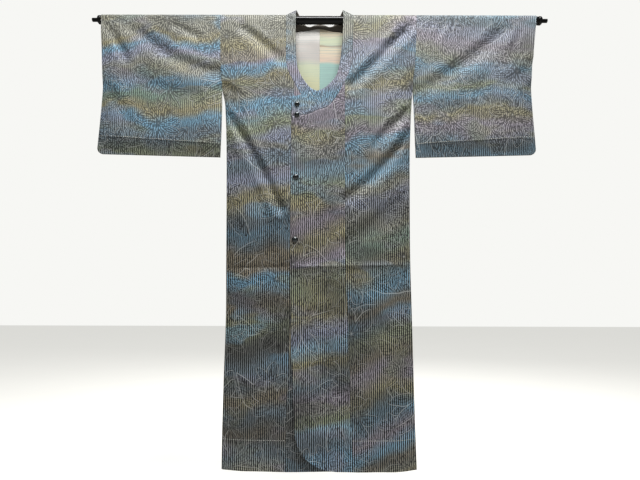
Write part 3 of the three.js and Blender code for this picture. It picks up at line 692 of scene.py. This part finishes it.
def dyed(tree, place, bands, palette, blend):
    """The dye at a place; each band is where it lies, from 0 to 1, and the name of its dye."""
    ramp = node(tree, "ShaderNodeValToRGB", {"Fac": place})
    ramp.color_ramp.interpolation = blend
    stops = ramp.color_ramp.elements
    stops[0].position, stops[0].color = bands[0][0], palette[bands[0][1]]
    stops[1].position, stops[1].color = bands[-1][0], palette[bands[-1][1]]
    for position, dye in bands[1:-1]:
        stops.new(position).color = palette[dye]
    return ramp.outputs[0]


def figured_cloth(name, bands, run=1.36, lean=0.0, shift=0.0, stir=0.0, fade=0.1, strip=None):
    """Figured ribbed cloth, hand dyed in bands; each band is where it lies along the run, and its dye.

    Past strip, a place along the run with the slant of its edge, the cloth is darkened: painted shade on the
    band below a sleeve's tuck."""
    material, tree, shader = finish(name, 0.5, {
        "Specular IOR Level": 0.26, "Sheen Weight": 0.08, "Sheen Roughness": 0.35,
        "Sheen Tint": (0.88, 0.93, 1.0, 1.0)})
    do = sums(tree)
    flat = on_cut(tree)
    stirred = vector_step(tree, "ADD", flat, (stir, stir * 1.7, 0.0))
    drift = placed(tree, dye_drift, {"Vector": flat, "Lean": lean, "Run": run, "Shift": shift})
    banded = dyed(tree, drift.outputs["Place"], bands, dyes, "EASE")
    patch = placed(tree, dye_patch, {"Vector": stirred, "Shift": stir})
    other = dyed(tree, patch.outputs["Which"], patch_dyes, dyes, "LINEAR")
    share = do("MULTIPLY", patch.outputs["Patch"], 0.55)
    dye = mixed(tree, share, banded, other)
    dye = mixed(tree, fade, dye, dyes["grey"])
    # Clouds of ink, stronger toward the bottom of the run: partly uneven dye, partly painted shade darkening
    # the lower coat.
    clouds = noise(tree, stretched(tree, stirred, 4.5, 9.0, 2.3), 1.0, 2.0)
    over, run_down, _ = node(tree, "ShaderNodeSeparateXYZ", {0: flat}).outputs
    low = step_up(tree, do("ABSOLUTE", run_down), 0.25, 0.75)
    high = do("SUBTRACT", 1.0, low)
    stain_and_painted_shade = do("MULTIPLY", step_up(tree, clouds, 0.44, 0.64), do("MULTIPLY_ADD", low, 0.3, 0.25))
    dye = mixed(tree, stain_and_painted_shade, dye, dyes["ink"])

    figure = placed(tree, woven_figure, {"Vector": stirred}).outputs
    # Past the strip below a sleeve's tuck the colour is darkened: painted shade where the cloth turns in and
    # faces down.
    if strip:
        slanted = do("MULTIPLY_ADD", do("ABSOLUTE", over), strip[1], run_down)
        share = do("MULTIPLY", step_up(tree, slanted, strip[0], strip[0] + 0.003), 0.32)
        dye = mixed(tree, share, dye, painted_tuck_shade)
    loose = do("MULTIPLY", step_up(tree, noise(tree, stirred, 6.5, 1.0), 0.42, 0.6), high)
    wander = do("MULTIPLY_ADD", loose, 1.6, 0.4)
    stray = do("MULTIPLY", do("SUBTRACT", noise(tree, stirred, 70.0, 1.0, 0.6), 0.5), wander)
    turns = do("ADD", do("DIVIDE", over, rib_pitch), stray)
    drawn = do("ADD", figure["Turns"], stray)
    share = do("MULTIPLY", figure["Inside"], do("MULTIPLY_ADD", high, 0.34, 0.24))
    slub = do("MULTIPLY_ADD", high, 0.5, 0.6)
    rib = placed(tree, rib_weave, {"Vector": flat, "Turns": turns, "Drawn": drawn, "Share": share,
                                   "Slub": slub}).outputs
    # The hollows between the ribs are paler toward the top and fully dark toward the bottom, and the threads
    # brighter lower down: painted sheen veiling the ribs at the top, painted shade in the hollows lower down.
    depth = do("MULTIPLY_ADD", low, 0.3, 0.7)
    hollow = mixed(tree, depth, dye, ground_thread)
    bright = do("MULTIPLY_ADD", low, 0.16, 1.17)
    thread = vector_step(tree, "SCALE", dye, bright)
    woven = mixed(tree, rib["Rib"], hollow, thread)
    clear = step_up(tree, noise(tree, stirred, 7.0, 1.0), 0.3, 0.7)
    dark_line = do("MULTIPLY", figure["Shade"], do("MULTIPLY_ADD", clear, 0.3, 0.15))
    outlined = mixed(tree, dark_line, woven, ground_thread)
    pale = mixed(tree, 0.45, dye, undyed_thread)
    pale_line = do("MULTIPLY", figure["Line"], do("MULTIPLY_ADD", clear, 0.45, 0.28))
    shown = mixed(tree, pale_line, outlined, pale)
    tree.links.new(shown, shader.inputs["Base Color"])
    tree.links.new(do("MULTIPLY_ADD", rib["Rib"], -0.16, 0.62), shader.inputs["Roughness"])
    bumped(tree, shader, rib["Height"], 0.45, 0.0006)
    return material


body_right_cloth = figured_cloth("body_right_cloth", [
    (0.0, "taupe"), (0.03, "taupe"), (0.06, "gold"), (0.09, "mauve"), (0.12, "blue"), (0.15, "gold"),
    (0.18, "taupe"), (0.21, "blue"), (0.26, "olive"), (0.29, "lilac"), (0.34, "slate"), (0.38, "lilac"),
    (0.42, "gold"), (0.47, "slate"), (0.49, "blue"), (0.54, "brown"), (0.57, "brown"), (0.59, "blue"),
    (0.64, "brown"), (0.69, "olive"), (0.73, "ink"), (0.77, "slate"), (0.83, "brown"), (0.87, "slate"),
    (0.91, "brown"), (0.95, "slate"), (1.0, "taupe")], lean=0.06, stir=0.31)
body_left_cloth = figured_cloth("body_left_cloth", [
    (0.0, "taupe"), (0.02, "gold"), (0.05, "mauve"), (0.09, "lilac"), (0.13, "blue"), (0.17, "gold"),
    (0.2, "lilac"), (0.23, "olive"), (0.27, "mauve"), (0.29, "blue"), (0.33, "brown"), (0.36, "blue"),
    (0.4, "taupe"), (0.43, "lilac"), (0.48, "taupe"), (0.52, "green"), (0.57, "gold"), (0.62, "blue"),
    (0.66, "brown"), (0.69, "blue"), (0.73, "olive"), (0.77, "brown"), (0.8, "mauve"), (0.84, "gold"),
    (0.88, "blue"), (0.92, "mauve"), (0.95, "blue"), (0.98, "brown"), (1.0, "taupe")],
    lean=0.3, shift=-0.038, stir=0.87, fade=0.25)

for name, side, collar, cloth in (("body_right", -1, collar_right, body_right_cloth),
                                  ("body_left", 1, collar_left, body_left_cloth)):
    panel = body_panel(name + "_cloth", side, collar, [cloth])
    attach(panel, "root")
    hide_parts(name)

# ---------------------------------------------------------------- sleeves
# Each sleeve is a shorter loom width folded over the rod, sewn up along the bottom and round the
# outer corner, left open at the cuff and, below the armhole, along its inner edge.
sleeve_outline = table("drop inner_right inner_left outer_right outer_left", [
    (0, 305, 298, 673, 667), (100, 303, 293.3, 666, 655), (150, 302, 291, 663, 650),
    (239, 296, 283, 660, 644), (290, 296, 286, 661, 645), (451, 297, 289, 668, 651)])
sleeve_stand = table("drop middle inner cuff", [
    (0, 14, 14, 14), (15, 14, 14, 14), (120, 14.5, 13, 12.5), (190, 14.5, 10, 9), (225, 14, 5, 3.5),
    (239, 13.6, 1.05, 1.05), (300, 12.5, 4, 1.05), (400, 9.5, 4, 1.05), (447, 1.05, 1.05, 1.05),
    (452, 1.05, 1.05, 1.05)])
sleeve_front_folds = [
    (-656, 26, -609, 111, -589, 146, 4, 4, 13), (-572, 43, -439, 146, -310, 186, 5, 6, 19),
    (-442, 36, -410, 54, -376, 72, 6, 3, 11), (-540, 210, -450, 250, -380, 262, 2.5, 2.5, 20),
    (-640, 250, -600, 300, -570, 360, 3, 2, 18), (572, 33, 498, 111, 339, 226, 5, 6, 20),
    (647, 162, 616, 194, 570, 216, 4, 3, 18), (388, 20, 372, 48, 358, 74, 6, 2, 8),
    (610, 60, 596, 96, 584, 130, 3, 2, 10), (420, 300, 470, 330, 540, 340, 3, 2, 22),
]
sleeve_back_folds = [
    (-600, 38, -455, 120, -318, 190, 7, 9, 19), (585, 30, 470, 118, 320, 205, 7, 9, 19),
    (-400, 30, -385, 60, -360, 90, 4, 2, 11), (630, 150, 596, 190, 560, 214, 4, 3, 15),
    (-470, 300, -420, 320, -360, 330, 2, 2, 24),
]
sleeve_drop = 451
sleeve_width = 365
tuck_height = 40
tuck_slant = 15
sleeve_slant = 9
sleeve_corner = 20
sleeve_ramp = 60


def sleeve_out(face, x, drop, across, inner_gap, outer_gap):
    """Distance of a sleeve's mid-surface from the middle plane."""
    middle = read(sleeve_stand, "drop", drop, "middle")
    inner = read(sleeve_stand, "drop", drop, "inner")
    cuff = read(sleeve_stand, "drop", drop, "cuff")
    near_inner = 1 - np.sin(np.clip(inner_gap / sleeve_ramp, 0, 1) * math.pi / 2)
    near_cuff = 1 - np.sin(np.clip(outer_gap / sleeve_ramp, 0, 1) * math.pi / 2)
    stand = np.maximum(middle - (middle - inner) * near_inner - (middle - cuff) * near_cuff, seam_depth)
    folds = sleeve_front_folds if face == "front" else sleeve_back_folds
    tuck_at = sleeve_drop - tuck_height - tuck_slant * across
    tuck = 1.3 * smooth(drop, tuck_at, tuck_at + 2.5)
    return pressed(stand, drawn_in(folds, x, drop) + tuck + slack(x, drop, 1.1 if face == "front" else 3.0))


def sleeve_panel(name, side, materials):
    inner_column, outer_column = ("inner_left", "outer_left") if side > 0 else ("inner_right", "outer_right")
    shares = with_rims(runs(0, sleeve_width)) / sleeve_width

    def edges(drops):
        above = np.clip(sleeve_drop - drops, 0, sleeve_corner)
        rounded = sleeve_corner - np.sqrt(sleeve_corner ** 2 - (sleeve_corner - above) ** 2)
        inner = read(sleeve_outline, "drop", drops, inner_column) + seam_gap / 2
        outer = read(sleeve_outline, "drop", drops, outer_column) - rounded
        return inner[:, None], outer[:, None]

    def face(name, drops):
        inner, outer = edges(drops)
        distance = inner + (outer - inner) * shares
        level = np.broadcast_to(drops[:, None], distance.shape)
        hung = level * (1 - sleeve_slant * shares / sleeve_drop)
        stand = sleeve_out(name, side * distance, level, shares, distance - inner, outer - distance)
        return side * distance, stand, shoulder_top - hung, hung

    corner = sleeve_drop - sleeve_corner * (1 - np.sin(np.linspace(0, math.pi / 2, 9)))
    straight = finer(runs(18, sleeve_drop - sleeve_corner)[:-1], (404, 14, 1.8))
    drops = np.concatenate([straight, corner])
    x, stand, z, hung = face("front", drops[::-1])
    front = (x, -stand, z, hung)
    x, stand, z, hung = face("back", drops)
    back = (x, stand, z, 2 * shoulder_top - arc_length - hung)
    inner, outer = edges(np.zeros(len(rod_turns)))
    top_x = side * (inner + (outer - inner) * shares)
    return cloth_shell(name, *joined_faces(front, top_x, back), materials)


sleeve_right_cloth = figured_cloth("sleeve_right_cloth", [
    (0.0, "taupe"), (0.03, "taupe"), (0.05, "gold"), (0.08, "blue"), (0.11, "lilac"), (0.16, "taupe"),
    (0.21, "blue"), (0.25, "green"), (0.29, "gold"), (0.33, "blue"), (0.38, "slate"), (0.44, "olive"),
    (0.47, "brown"), (0.53, "taupe"), (0.6, "blue"), (0.66, "olive"), (0.72, "mauve"), (0.78, "slate"),
    (0.84, "gold"), (0.9, "lilac"), (0.95, "slate"), (1.0, "taupe")],
    run=0.95, lean=0.05, stir=1.43, fade=0.15, strip=(0.4296, 0.063))
sleeve_left_cloth = figured_cloth("sleeve_left_cloth", [
    (0.0, "slate"), (0.03, "lilac"), (0.07, "mauve"), (0.11, "taupe"), (0.16, "blue"), (0.2, "slate"),
    (0.23, "olive"), (0.26, "blue"), (0.28, "slate"), (0.31, "gold"), (0.34, "mauve"), (0.4, "slate"),
    (0.43, "blue"), (0.47, "slate"), (0.53, "olive"), (0.6, "mauve"), (0.66, "blue"), (0.72, "taupe"),
    (0.78, "lilac"), (0.84, "slate"), (0.9, "gold"), (0.95, "sky"), (1.0, "slate")],
    run=0.95, lean=-0.04, stir=2.21, fade=0.3, strip=(0.4296, 0.063))

for name, side, cloth in (("sleeve_right", -1, sleeve_right_cloth), ("sleeve_left", 1, sleeve_left_cloth)):
    panel = sleeve_panel(name + "_cloth", side, [cloth])
    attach(panel, "root")
    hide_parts(name)

# ---------------------------------------------------------------- overlap panels
# A half-width strip of the same cloth sewn to the front edge of each body side. The left one lies
# on top and has the round bottom corner; the right one lies under it and has a square corner.
overlap_square_to = 1240
overlap_round_width = 126


def overlap_edge(side, drop):
    if side < 0:
        return -read(body_outline, "drop", drop, "edge")
    edge = -read(body_outline, "drop", np.minimum(drop, overlap_square_to), "edge")
    below = np.maximum(drop - overlap_square_to, 0) / (coat_length - overlap_square_to)
    return edge + overlap_round_width * (1 - np.sqrt(np.maximum(1 - below ** 2, 0)))


def overlap_panel(name, side, collar, materials):
    rows = with_rims(runs(0, 7 * 26)) / 26
    seam_x = read(collar, "row", rows, "seam_x")
    top = read(collar, "row", rows, "seam_drop") + seam_gap
    share = ((seam_x - seam_x[0]) / (seam_x[-1] - seam_x[0]))[None, :]
    bend = np.sin(np.linspace(0, math.pi / 2, 28))
    round_part = overlap_square_to + (coat_length - overlap_square_to) * bend
    level = np.concatenate([finer(runs(400, overlap_square_to), tight_creases[0]), round_part[1:]])[:, None]
    upper = np.linspace(0, 1, 22)[:-1, None]
    drop = np.concatenate([top + (400 - top) * upper, level + 0 * top])
    level = np.concatenate([np.full((len(upper), 1), 400.0), level])
    start = overlap_edge(side, level)
    end = read(body_outline, "drop", level, "seam") - seam_gap / 2
    x = side * (start + (end - start) * share)
    points = np.stack([x, front_y(x, drop, side > 0), shoulder_top - drop], -1)
    return cloth_shell(name, points, np.broadcast_to(front_way, points.shape), drop, materials)


overlap_left_cloth = figured_cloth("overlap_left_cloth", [
    (0.0, "mauve"), (0.24, "mauve"), (0.27, "gold"), (0.31, "lilac"), (0.34, "slate"), (0.36, "sky"),
    (0.4, "olive"), (0.43, "gold"), (0.47, "mauve"), (0.51, "gold"), (0.55, "mauve"), (0.57, "slate"),
    (0.6, "olive"), (0.66, "gold"), (0.7, "lilac"), (0.73, "sky"), (0.76, "gold"), (0.8, "slate"),
    (0.84, "mauve"), (0.88, "olive"), (0.9, "sky"), (0.93, "slate"), (0.96, "blue"), (1.0, "slate")],
    lean=0.16, shift=-0.01, stir=3.05)
overlap_right_cloth = figured_cloth("overlap_right_cloth", [
    (0.0, "taupe"), (0.1, "slate"), (0.2, "mauve"), (0.3, "blue"), (0.4, "olive"), (0.5, "lilac"),
    (0.6, "slate"), (0.7, "gold"), (0.8, "slate"), (0.9, "ink"), (1.0, "slate")], lean=0.06, stir=3.72)

for name, side, collar, cloth in (("overlap_left", 1, collar_left, overlap_left_cloth),
                                  ("overlap_right", -1, collar_right, overlap_right_cloth)):
    panel = overlap_panel(name + "_cloth", side, collar, [cloth])
    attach(panel, "root")
    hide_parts(name)

# ---------------------------------------------------------------- collar band
# One long band of the same cloth, folded lengthwise and sewn round the neck edge from the right
# front, over the rod, behind the neck and down to the left front, with a dark facing inside.
collar_shoulder = table("turn rim_x rim_y rim_z", [
    (0, 72.5, -15.5, 2), (30, 72.5, -14.5, 15), (60, 72, -9, 26), (90, 71.5, -1, 32), (120, 69, 8, 31),
    (150, 63, 15, 23), (180, 56, 17.5, 12)])
collar_lean = 0.5
collar_columns = 10


def collar_half(side, collar):
    """Rim, seam and outward way along half of the band, from the front end to the centre back."""
    rows = runs(0, 12, 0.14)
    front = {column: read(collar, "row", rows, column) for column in collar}
    seam_front = np.stack([side * front["seam_x"], 0 * rows, shoulder_top - front["seam_drop"]], -1)
    rim_front = np.stack([side * front["rim_x"], 0 * rows, shoulder_top - front["rim_drop"]], -1)
    way_front = np.broadcast_to(front_way, rim_front.shape)
    turns = np.linspace(0, 180, 19)
    seam_top = over_rod(turns)[0][:, 0]
    seam_top = np.stack([np.full(len(turns), side * neck_side), seam_top[:, 1], seam_top[:, 2]], -1)
    rim_top = np.stack([side * read(collar_shoulder, "turn", turns, "rim_x"),
                        read(collar_shoulder, "turn", turns, "rim_y"),
                        read(collar_shoulder, "turn", turns, "rim_z")], -1)
    lean = side * collar_lean * np.sin(np.radians(turns))
    way_top = over_rod(turns)[1][:, 0] + np.stack([lean, 0 * lean, 0 * lean], -1)
    way_top /= np.linalg.norm(way_top, axis=1)[:, None]
    rows = runs(0.2, 5, 0.2)
    back = {column: read(collar_back, "row", rows, column) for column in collar_back}
    seam_x = side * back["seam_x"]
    seam_back = np.stack([seam_x, body_out("back", seam_x, back["seam_depth"] + shoulder_top),
                          -back["seam_depth"]], -1)
    rim_back = np.stack([side * back["rim_x"], back["rim_y"], back["rim_z"]], -1)
    way_back = np.broadcast_to(back_way, rim_back.shape)
    return (np.concatenate([rim_front, rim_top, rim_back]), np.concatenate([seam_front, seam_top, seam_back]),
            np.concatenate([way_front, way_top, way_back]))


def collar_grid():
    halves = []
    for side, collar in ((-1, collar_right), (1, collar_left)):
        rim, seam, way = collar_half(side, collar)
        front_rows = len(runs(0, 12, 0.14))
        toward = rim - seam
        width = np.linalg.norm(toward, axis=1)[:, None]
        gap = seam_gap + np.abs(way[:, :1]) * cloth_wall
        start = seam + toward * gap / width
        shares = with_rims(np.linspace(0, 30, collar_columns)) / 30
        points = start[:, None] + (rim - start)[:, None] * shares[None, :, None]
        flat = points[:front_rows]
        flat[..., 1] = front_y(flat[..., 0], shoulder_top - flat[..., 2], side > 0)
        ways = np.broadcast_to(way[:, None], points.shape).copy()
        halves.append((points, ways))
    (right, right_way), (left, left_way) = halves
    points = np.concatenate([right, left[::-1][1:]])
    ways = np.concatenate([right_way, left_way[::-1][1:]])
    return points, ways


points, ways = collar_grid()
collar_outer = figured_cloth("collar_cloth", [
    (0.0, "grey"), (0.05, "taupe"), (0.09, "slate"), (0.13, "mauve"), (0.17, "lilac"), (0.20, "blue"),
    (0.25, "mauve"), (0.4, "slate"), (0.7, "taupe"), (0.9, "slate"), (0.96, "ink"), (1.0, "grey")],
    lean=0.1, stir=4.4)
collar_facing, tree, shader = finish("collar_facing", 0.75, {"Sheen Weight": 0.3, "Sheen Roughness": 0.5})
grain = noise(tree, stretched(tree, on_cut(tree), 900.0, 900.0), 1.0)
tree.links.new(two_tone(tree, grain, (84, 78, 70), (120, 112, 100)), shader.inputs["Base Color"])
collar_piece = cloth_shell("collar_cloth", points, ways, shoulder_top - points[..., 2],
                           [collar_outer, collar_facing])
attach(collar_piece, "root")
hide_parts("collar")

# ---------------------------------------------------------------- lining of the upper back
# Two widths of thin pale lining, joined at the centre back, that hang against the inside of the
# back and show through the neck.
lining_top = table("x z", [(-116, -44), (-75, -34), (-40, -29), (0, -23), (46, -32), (75, -35), (116, -44)])
lining_bottom = -292
lining_wall = 1.0
lining_ease = 2
lining_run = 0.3
lining_thread = colour(120, 140, 140)


def lining_width(name, side, materials):
    across = side * with_rims(runs(seam_gap / 2, 116))
    top = read(lining_top, "x", across, "z")
    share = with_rims(runs(0, 260))[:, None] / 260
    z = top + (lining_bottom - top) * share
    x = np.broadcast_to(across, z.shape)
    inset = cloth_wall / 2 + lining_ease + lining_wall / 2
    points = np.stack([x, body_out("back", x, shoulder_top - z) - inset, z], -1)
    return cloth_shell(name, points, np.broadcast_to(back_way, points.shape), -z, materials, lining_wall)


def lining_cloth(name, bands, lines):
    """Thin plain lining, dyed in pale bands, with faint lines across it."""
    material, tree, shader = finish(name, 0.7, {"Sheen Weight": 0.15})
    flat = on_cut(tree)
    down = node(tree, "ShaderNodeSeparateXYZ", {0: flat}).outputs[1]
    soft = noise(tree, stretched(tree, flat, 9.0, 22.0), 1.0, 2.0)
    place = calc(tree, "MULTIPLY_ADD", calc(tree, "SUBTRACT", soft, 0.5), 0.02, down)
    banded = dyed(tree, calc(tree, "DIVIDE", place, lining_run), bands, lining_dyes, "EASE")
    threads = noise(tree, stretched(tree, flat, 6.0, 330.0), 1.0, 2.0)
    faint = calc(tree, "MULTIPLY", step_up(tree, threads, 0.52, 0.66), lines)
    lined = mixed(tree, faint, banded, lining_thread)
    tree.links.new(lined, shader.inputs["Base Color"])
    bumped(tree, shader, threads, 0.3, 0.0004)
    return material


lining_dyes = {
    "pale": colour(196, 193, 188), "ash": colour(160, 155, 150), "leaf": colour(166, 172, 146),
    "straw": colour(170, 170, 136), "beige": colour(184, 174, 150), "rose": colour(184, 164, 146),
    "teal": colour(130, 162, 154), "bark": colour(140, 124, 102),
}
lining_right_cloth = lining_cloth("lining_right_cloth", [
    (0.0, "pale"), (0.15, "pale"), (0.25, "ash"), (0.4, "ash"), (0.5, "leaf"), (0.7, "straw"),
    (1.0, "straw")], 0.3)
lining_left_cloth = lining_cloth("lining_left_cloth", [
    (0.0, "beige"), (0.14, "beige"), (0.17, "leaf"), (0.23, "leaf"), (0.25, "bark"), (0.27, "beige"),
    (0.42, "rose"), (0.46, "teal"), (1.0, "teal")], 0.5)
for name, side, cloth in (("lining_right", -1, lining_right_cloth), ("lining_left", 1, lining_left_cloth)):
    width = lining_width(name + "_cloth", side, [cloth])
    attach(width, "root")
    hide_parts(name)

# ---------------------------------------------------------------- blind stitches
# The turned-up hem and the tucks at the bottom of the sleeves are caught with short stitches of
# pale silk thread, which show as dotted lines across each front and back.
stitch_pitch = 0.0061
stitch_long = 0.0042
stitch_thick = 0.0014
stitch_uneven = 0.2
stitch_sunk = 0.2
stitch_margin = 5
stitch_below = 2
silk_thread, tree, shader = finish("silk_thread", 0.45, {"Sheen Weight": 0.2})
place = node(tree, "ShaderNodeTexCoord").outputs["Object"]
twist = noise(tree, stretched(tree, place, 2600.0, 900.0), 1.0, 1.0)
tree.links.new(two_tone(tree, twist, (150, 152, 148), (214, 212, 202)), shader.inputs["Base Color"])
bumped(tree, shader, twist, 0.4, 0.0002)

stitch_row = bpy.data.node_groups.new("stitch_row", "GeometryNodeTree")
stitch_row.interface.new_socket("Rows", in_out="INPUT", socket_type="NodeSocketGeometry")
stitch_inputs = {}
for label in ("Pitch", "Long", "Thick", "Uneven"):
    socket = stitch_row.interface.new_socket(label, in_out="INPUT", socket_type="NodeSocketFloat")
    stitch_inputs[label] = socket.identifier
stitch_row.interface.new_socket("Stitches", in_out="OUTPUT", socket_type="NodeSocketGeometry")
given = stitch_row.nodes.new("NodeGroupInput").outputs
line = node(stitch_row, "GeometryNodeMeshToCurve", {"Mesh": given["Rows"]}).outputs["Curve"]
spots = node(stitch_row, "GeometryNodeCurveToPoints", {"Curve": line, "Length": given["Pitch"]},
             mode="LENGTH")
bead = node(stitch_row, "GeometryNodeMeshUVSphere", {"Segments": 8, "Rings": 5, "Radius": 0.5})
shape = node(stitch_row, "ShaderNodeCombineXYZ", {0: given["Thick"], 1: given["Thick"], 2: given["Long"]})
bead = node(stitch_row, "GeometryNodeTransform",
            {"Geometry": bead.outputs["Mesh"], "Scale": shape.outputs[0]})
least = calc(stitch_row, "SUBTRACT", 1.0, given["Uneven"])
most = calc(stitch_row, "ADD", 1.0, given["Uneven"])
uneven = node(stitch_row, "FunctionNodeRandomValue", {"Seed": 7}, data_type="FLOAT")
stitch_row.links.new(least, uneven.inputs[2])
stitch_row.links.new(most, uneven.inputs[3])
laid = node(stitch_row, "GeometryNodeInstanceOnPoints",
            {"Points": spots.outputs["Points"], "Instance": bead.outputs[0],
             "Rotation": spots.outputs["Rotation"], "Scale": uneven.outputs[1]})
whole = node(stitch_row, "GeometryNodeRealizeInstances", {0: laid.outputs[0]})
whole = node(stitch_row, "GeometryNodeSetShadeSmooth", {0: whole.outputs[0]})
whole = node(stitch_row, "GeometryNodeSetMaterial", {0: whole.outputs[0], "Material": silk_thread})
stitch_row.links.new(whole.outputs[0], stitch_row.nodes.new("NodeGroupOutput").inputs[0])


def stitches(name, lines):
    """Turns lines of points on the cloth into rows of stitches, as one plain mesh."""
    points = np.concatenate(lines) * 0.001
    ends = np.cumsum([len(line) for line in lines])
    edges = [(index, index + 1) for index in range(len(points) - 1) if index + 1 not in ends]
    mesh = bpy.data.meshes.new(name)
    mesh.from_pydata([tuple(p) for p in points], edges, [])
    piece = bpy.data.objects.new(name, mesh)
    bpy.context.scene.collection.objects.link(piece)
    rows = piece.modifiers.new("rows", "NODES")
    rows.node_group = stitch_row
    for label, value in (("Pitch", stitch_pitch), ("Long", stitch_long), ("Thick", stitch_thick),
                         ("Uneven", stitch_uneven)):
        rows[stitch_inputs[label]] = value
    made = bpy.data.meshes.new_from_object(piece.evaluated_get(bpy.context.evaluated_depsgraph_get()))
    piece.modifiers.clear()
    piece.data = made
    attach(piece, "root")


on_cloth = cloth_wall / 2 - stitch_sunk
hem_lines = []
sleeve_lines = []
for side, outline in ((-1, "side_right"), (1, "side_left")):
    wide = float(read(body_outline, "drop", np.array([hem_turn_drop]), outline)[0])
    seam = float(read(body_outline, "drop", np.array([hem_turn_drop]), "seam")[0])
    x = side * runs(seam + stitch_margin, wide - stitch_margin)
    drop = np.full(len(x), float(hem_turn_drop))
    hem_lines.append(np.stack([x, front_y(x, drop, side > 0) - on_cloth, shoulder_top - drop], -1))
    x = side * runs(stitch_margin, wide - stitch_margin)
    drop = np.full(len(x), float(hem_turn_drop))
    hem_lines.append(np.stack([x, body_out("back", x, drop) + on_cloth, shoulder_top - drop], -1))
    inner, outer = ("inner_left", "outer_left") if side > 0 else ("inner_right", "outer_right")
    share = np.linspace(0.015, 0.985, 74)
    drop = sleeve_drop - tuck_height - stitch_below - tuck_slant * share
    start, end = read(sleeve_outline, "drop", drop, inner), read(sleeve_outline, "drop", drop, outer)
    distance = start + (end - start) * share
    hung = drop * (1 - sleeve_slant * share / sleeve_drop)
    for face, way in (("front", -1), ("back", 1)):
        out = sleeve_out(face, side * distance, drop, share, distance - start, end - distance)
        sleeve_lines.append(np.stack([side * distance, way * (out + on_cloth), shoulder_top - hung], -1))
stitches("hem_stitches", hem_lines)
stitches("sleeve_stitches", sleeve_lines)

# ---------------------------------------------------------------- snap buttons
# Four dark metal snap tops pressed through the edge of the left front: a domed cap with a rolled
# rim, over a flat back washer.
snap_places = [(-67, 293), (-67, 325.5), (-69.5, 515.5), (-70, 701)]
snap_profile = [(0, 0), (7.0, 0), (7.8, 0.35), (8.0, 0.9), (7.75, 1.4), (7.2, 1.6), (6.9, 1.75), (6.5, 2.3),
                (5.6, 3.2), (4.3, 3.95), (2.8, 4.4), (1.4, 4.58), (0, 4.6)]
snap_sides = 40
snap_radius = 8
snap_gap = 0.05
snap_metal, tree, shader = finish("snap_metal", 0.14, {"Metallic": 0.7, "Coat Weight": 1.0})
shade = noise(tree, node(tree, "ShaderNodeTexCoord").outputs["Object"], 600.0, 2.0)
tree.links.new(two_tone(tree, shade, (14, 20, 22), (34, 44, 46)), shader.inputs["Base Color"])
tree.links.new(calc(tree, "MULTIPLY_ADD", shade, 0.12, 0.14), shader.inputs["Roughness"])


def lathe(name, profile, sides, middle, axis, materials):
    """A closed turned shape: profile points are (radius, height) along the axis."""
    axis = np.array(axis, float)
    first = np.cross(axis, (0.0, 0.0, 1.0) if abs(axis[2]) < 0.9 else (1.0, 0.0, 0.0))
    first /= np.linalg.norm(first)
    second = np.cross(axis, first)
    angles = np.linspace(0, 2 * math.pi, sides, endpoint=False)
    ring = np.cos(angles)[:, None] * first + np.sin(angles)[:, None] * second
    body = [(r, h) for r, h in profile if r > 0]
    points = [np.array(middle) + axis * profile[0][1]]
    for r, h in body:
        points.extend(np.array(middle) + axis * h + ring * r)
    points.append(np.array(middle) + axis * profile[-1][1])
    faces = []
    for side in range(sides):
        after = (side + 1) % sides
        faces.append((0, 1 + after, 1 + side))
        for level in range(len(body) - 1):
            low, high = 1 + level * sides, 1 + (level + 1) * sides
            faces.append((low + side, low + after, high + after, high + side))
        last = 1 + (len(body) - 1) * sides
        faces.append((last + side, last + after, len(points) - 1))
    return new_piece(name, np.array(points) * 0.001, faces, materials)


for number, (x, drop) in enumerate(snap_places, 1):
    turn = np.linspace(0, 2 * math.pi, 24)
    around = front_y(x + snap_radius * np.cos(turn), drop + snap_radius * np.sin(turn), True)
    rest = float(np.min(around)) - cloth_wall / 2 - snap_gap
    button = lathe(f"snap_top_{number}", snap_profile, snap_sides, (x, rest, shoulder_top - drop),
                   (0, -1, 0), [snap_metal])
    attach(button, "root")
    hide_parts(f"snap_button_{number}")

# ---------------------------------------------------------------- rod and its ends
# A straight tube with a satin black coat, and at each end a chamfered cap with a thin pin that the
# holder takes.
satin_black, tree, shader = finish("satin_black", 0.3, {"Specular IOR Level": 0.2})
wear = noise(tree, stretched(tree, node(tree, "ShaderNodeTexCoord").outputs["Object"], 8.0, 300.0), 1.0, 3.0)
tree.links.new(two_tone(tree, wear, (5, 5, 5), (14, 14, 15)), shader.inputs["Base Color"])
tree.links.new(calc(tree, "MULTIPLY_ADD", wear, 0.14, 0.12), shader.inputs["Roughness"])
rod_profile = [(0, -675), (11.6, -675), (12.3, -674.6), (12.5, -674), (12.5, -340), (12.5, 0), (12.5, 340),
               (12.5, 674), (12.3, 674.6), (11.6, 675), (0, 675)]
rod_piece = lathe("rod_tube", rod_profile, 64, (0, 0, 0), (1, 0, 0), [satin_black])
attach(rod_piece, "root")
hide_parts("rod")
end_profile = [(0, 675.3), (12.9, 675.3), (13.3, 675.7), (13.3, 683.0), (13.0, 683.6), (10.6, 686.0),
               (10.0, 686.3), (6.4, 686.3), (6.0, 686.7), (6.0, 703.2), (5.6, 703.8), (5.0, 704), (0, 704)]
for name, side in (("rod_end_left", 1), ("rod_end_right", -1)):
    end = lathe(name + "_cap", end_profile, 48, (0, 0, 0), (side, 0, 0), [satin_black])
    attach(end, "root")
    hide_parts(name)
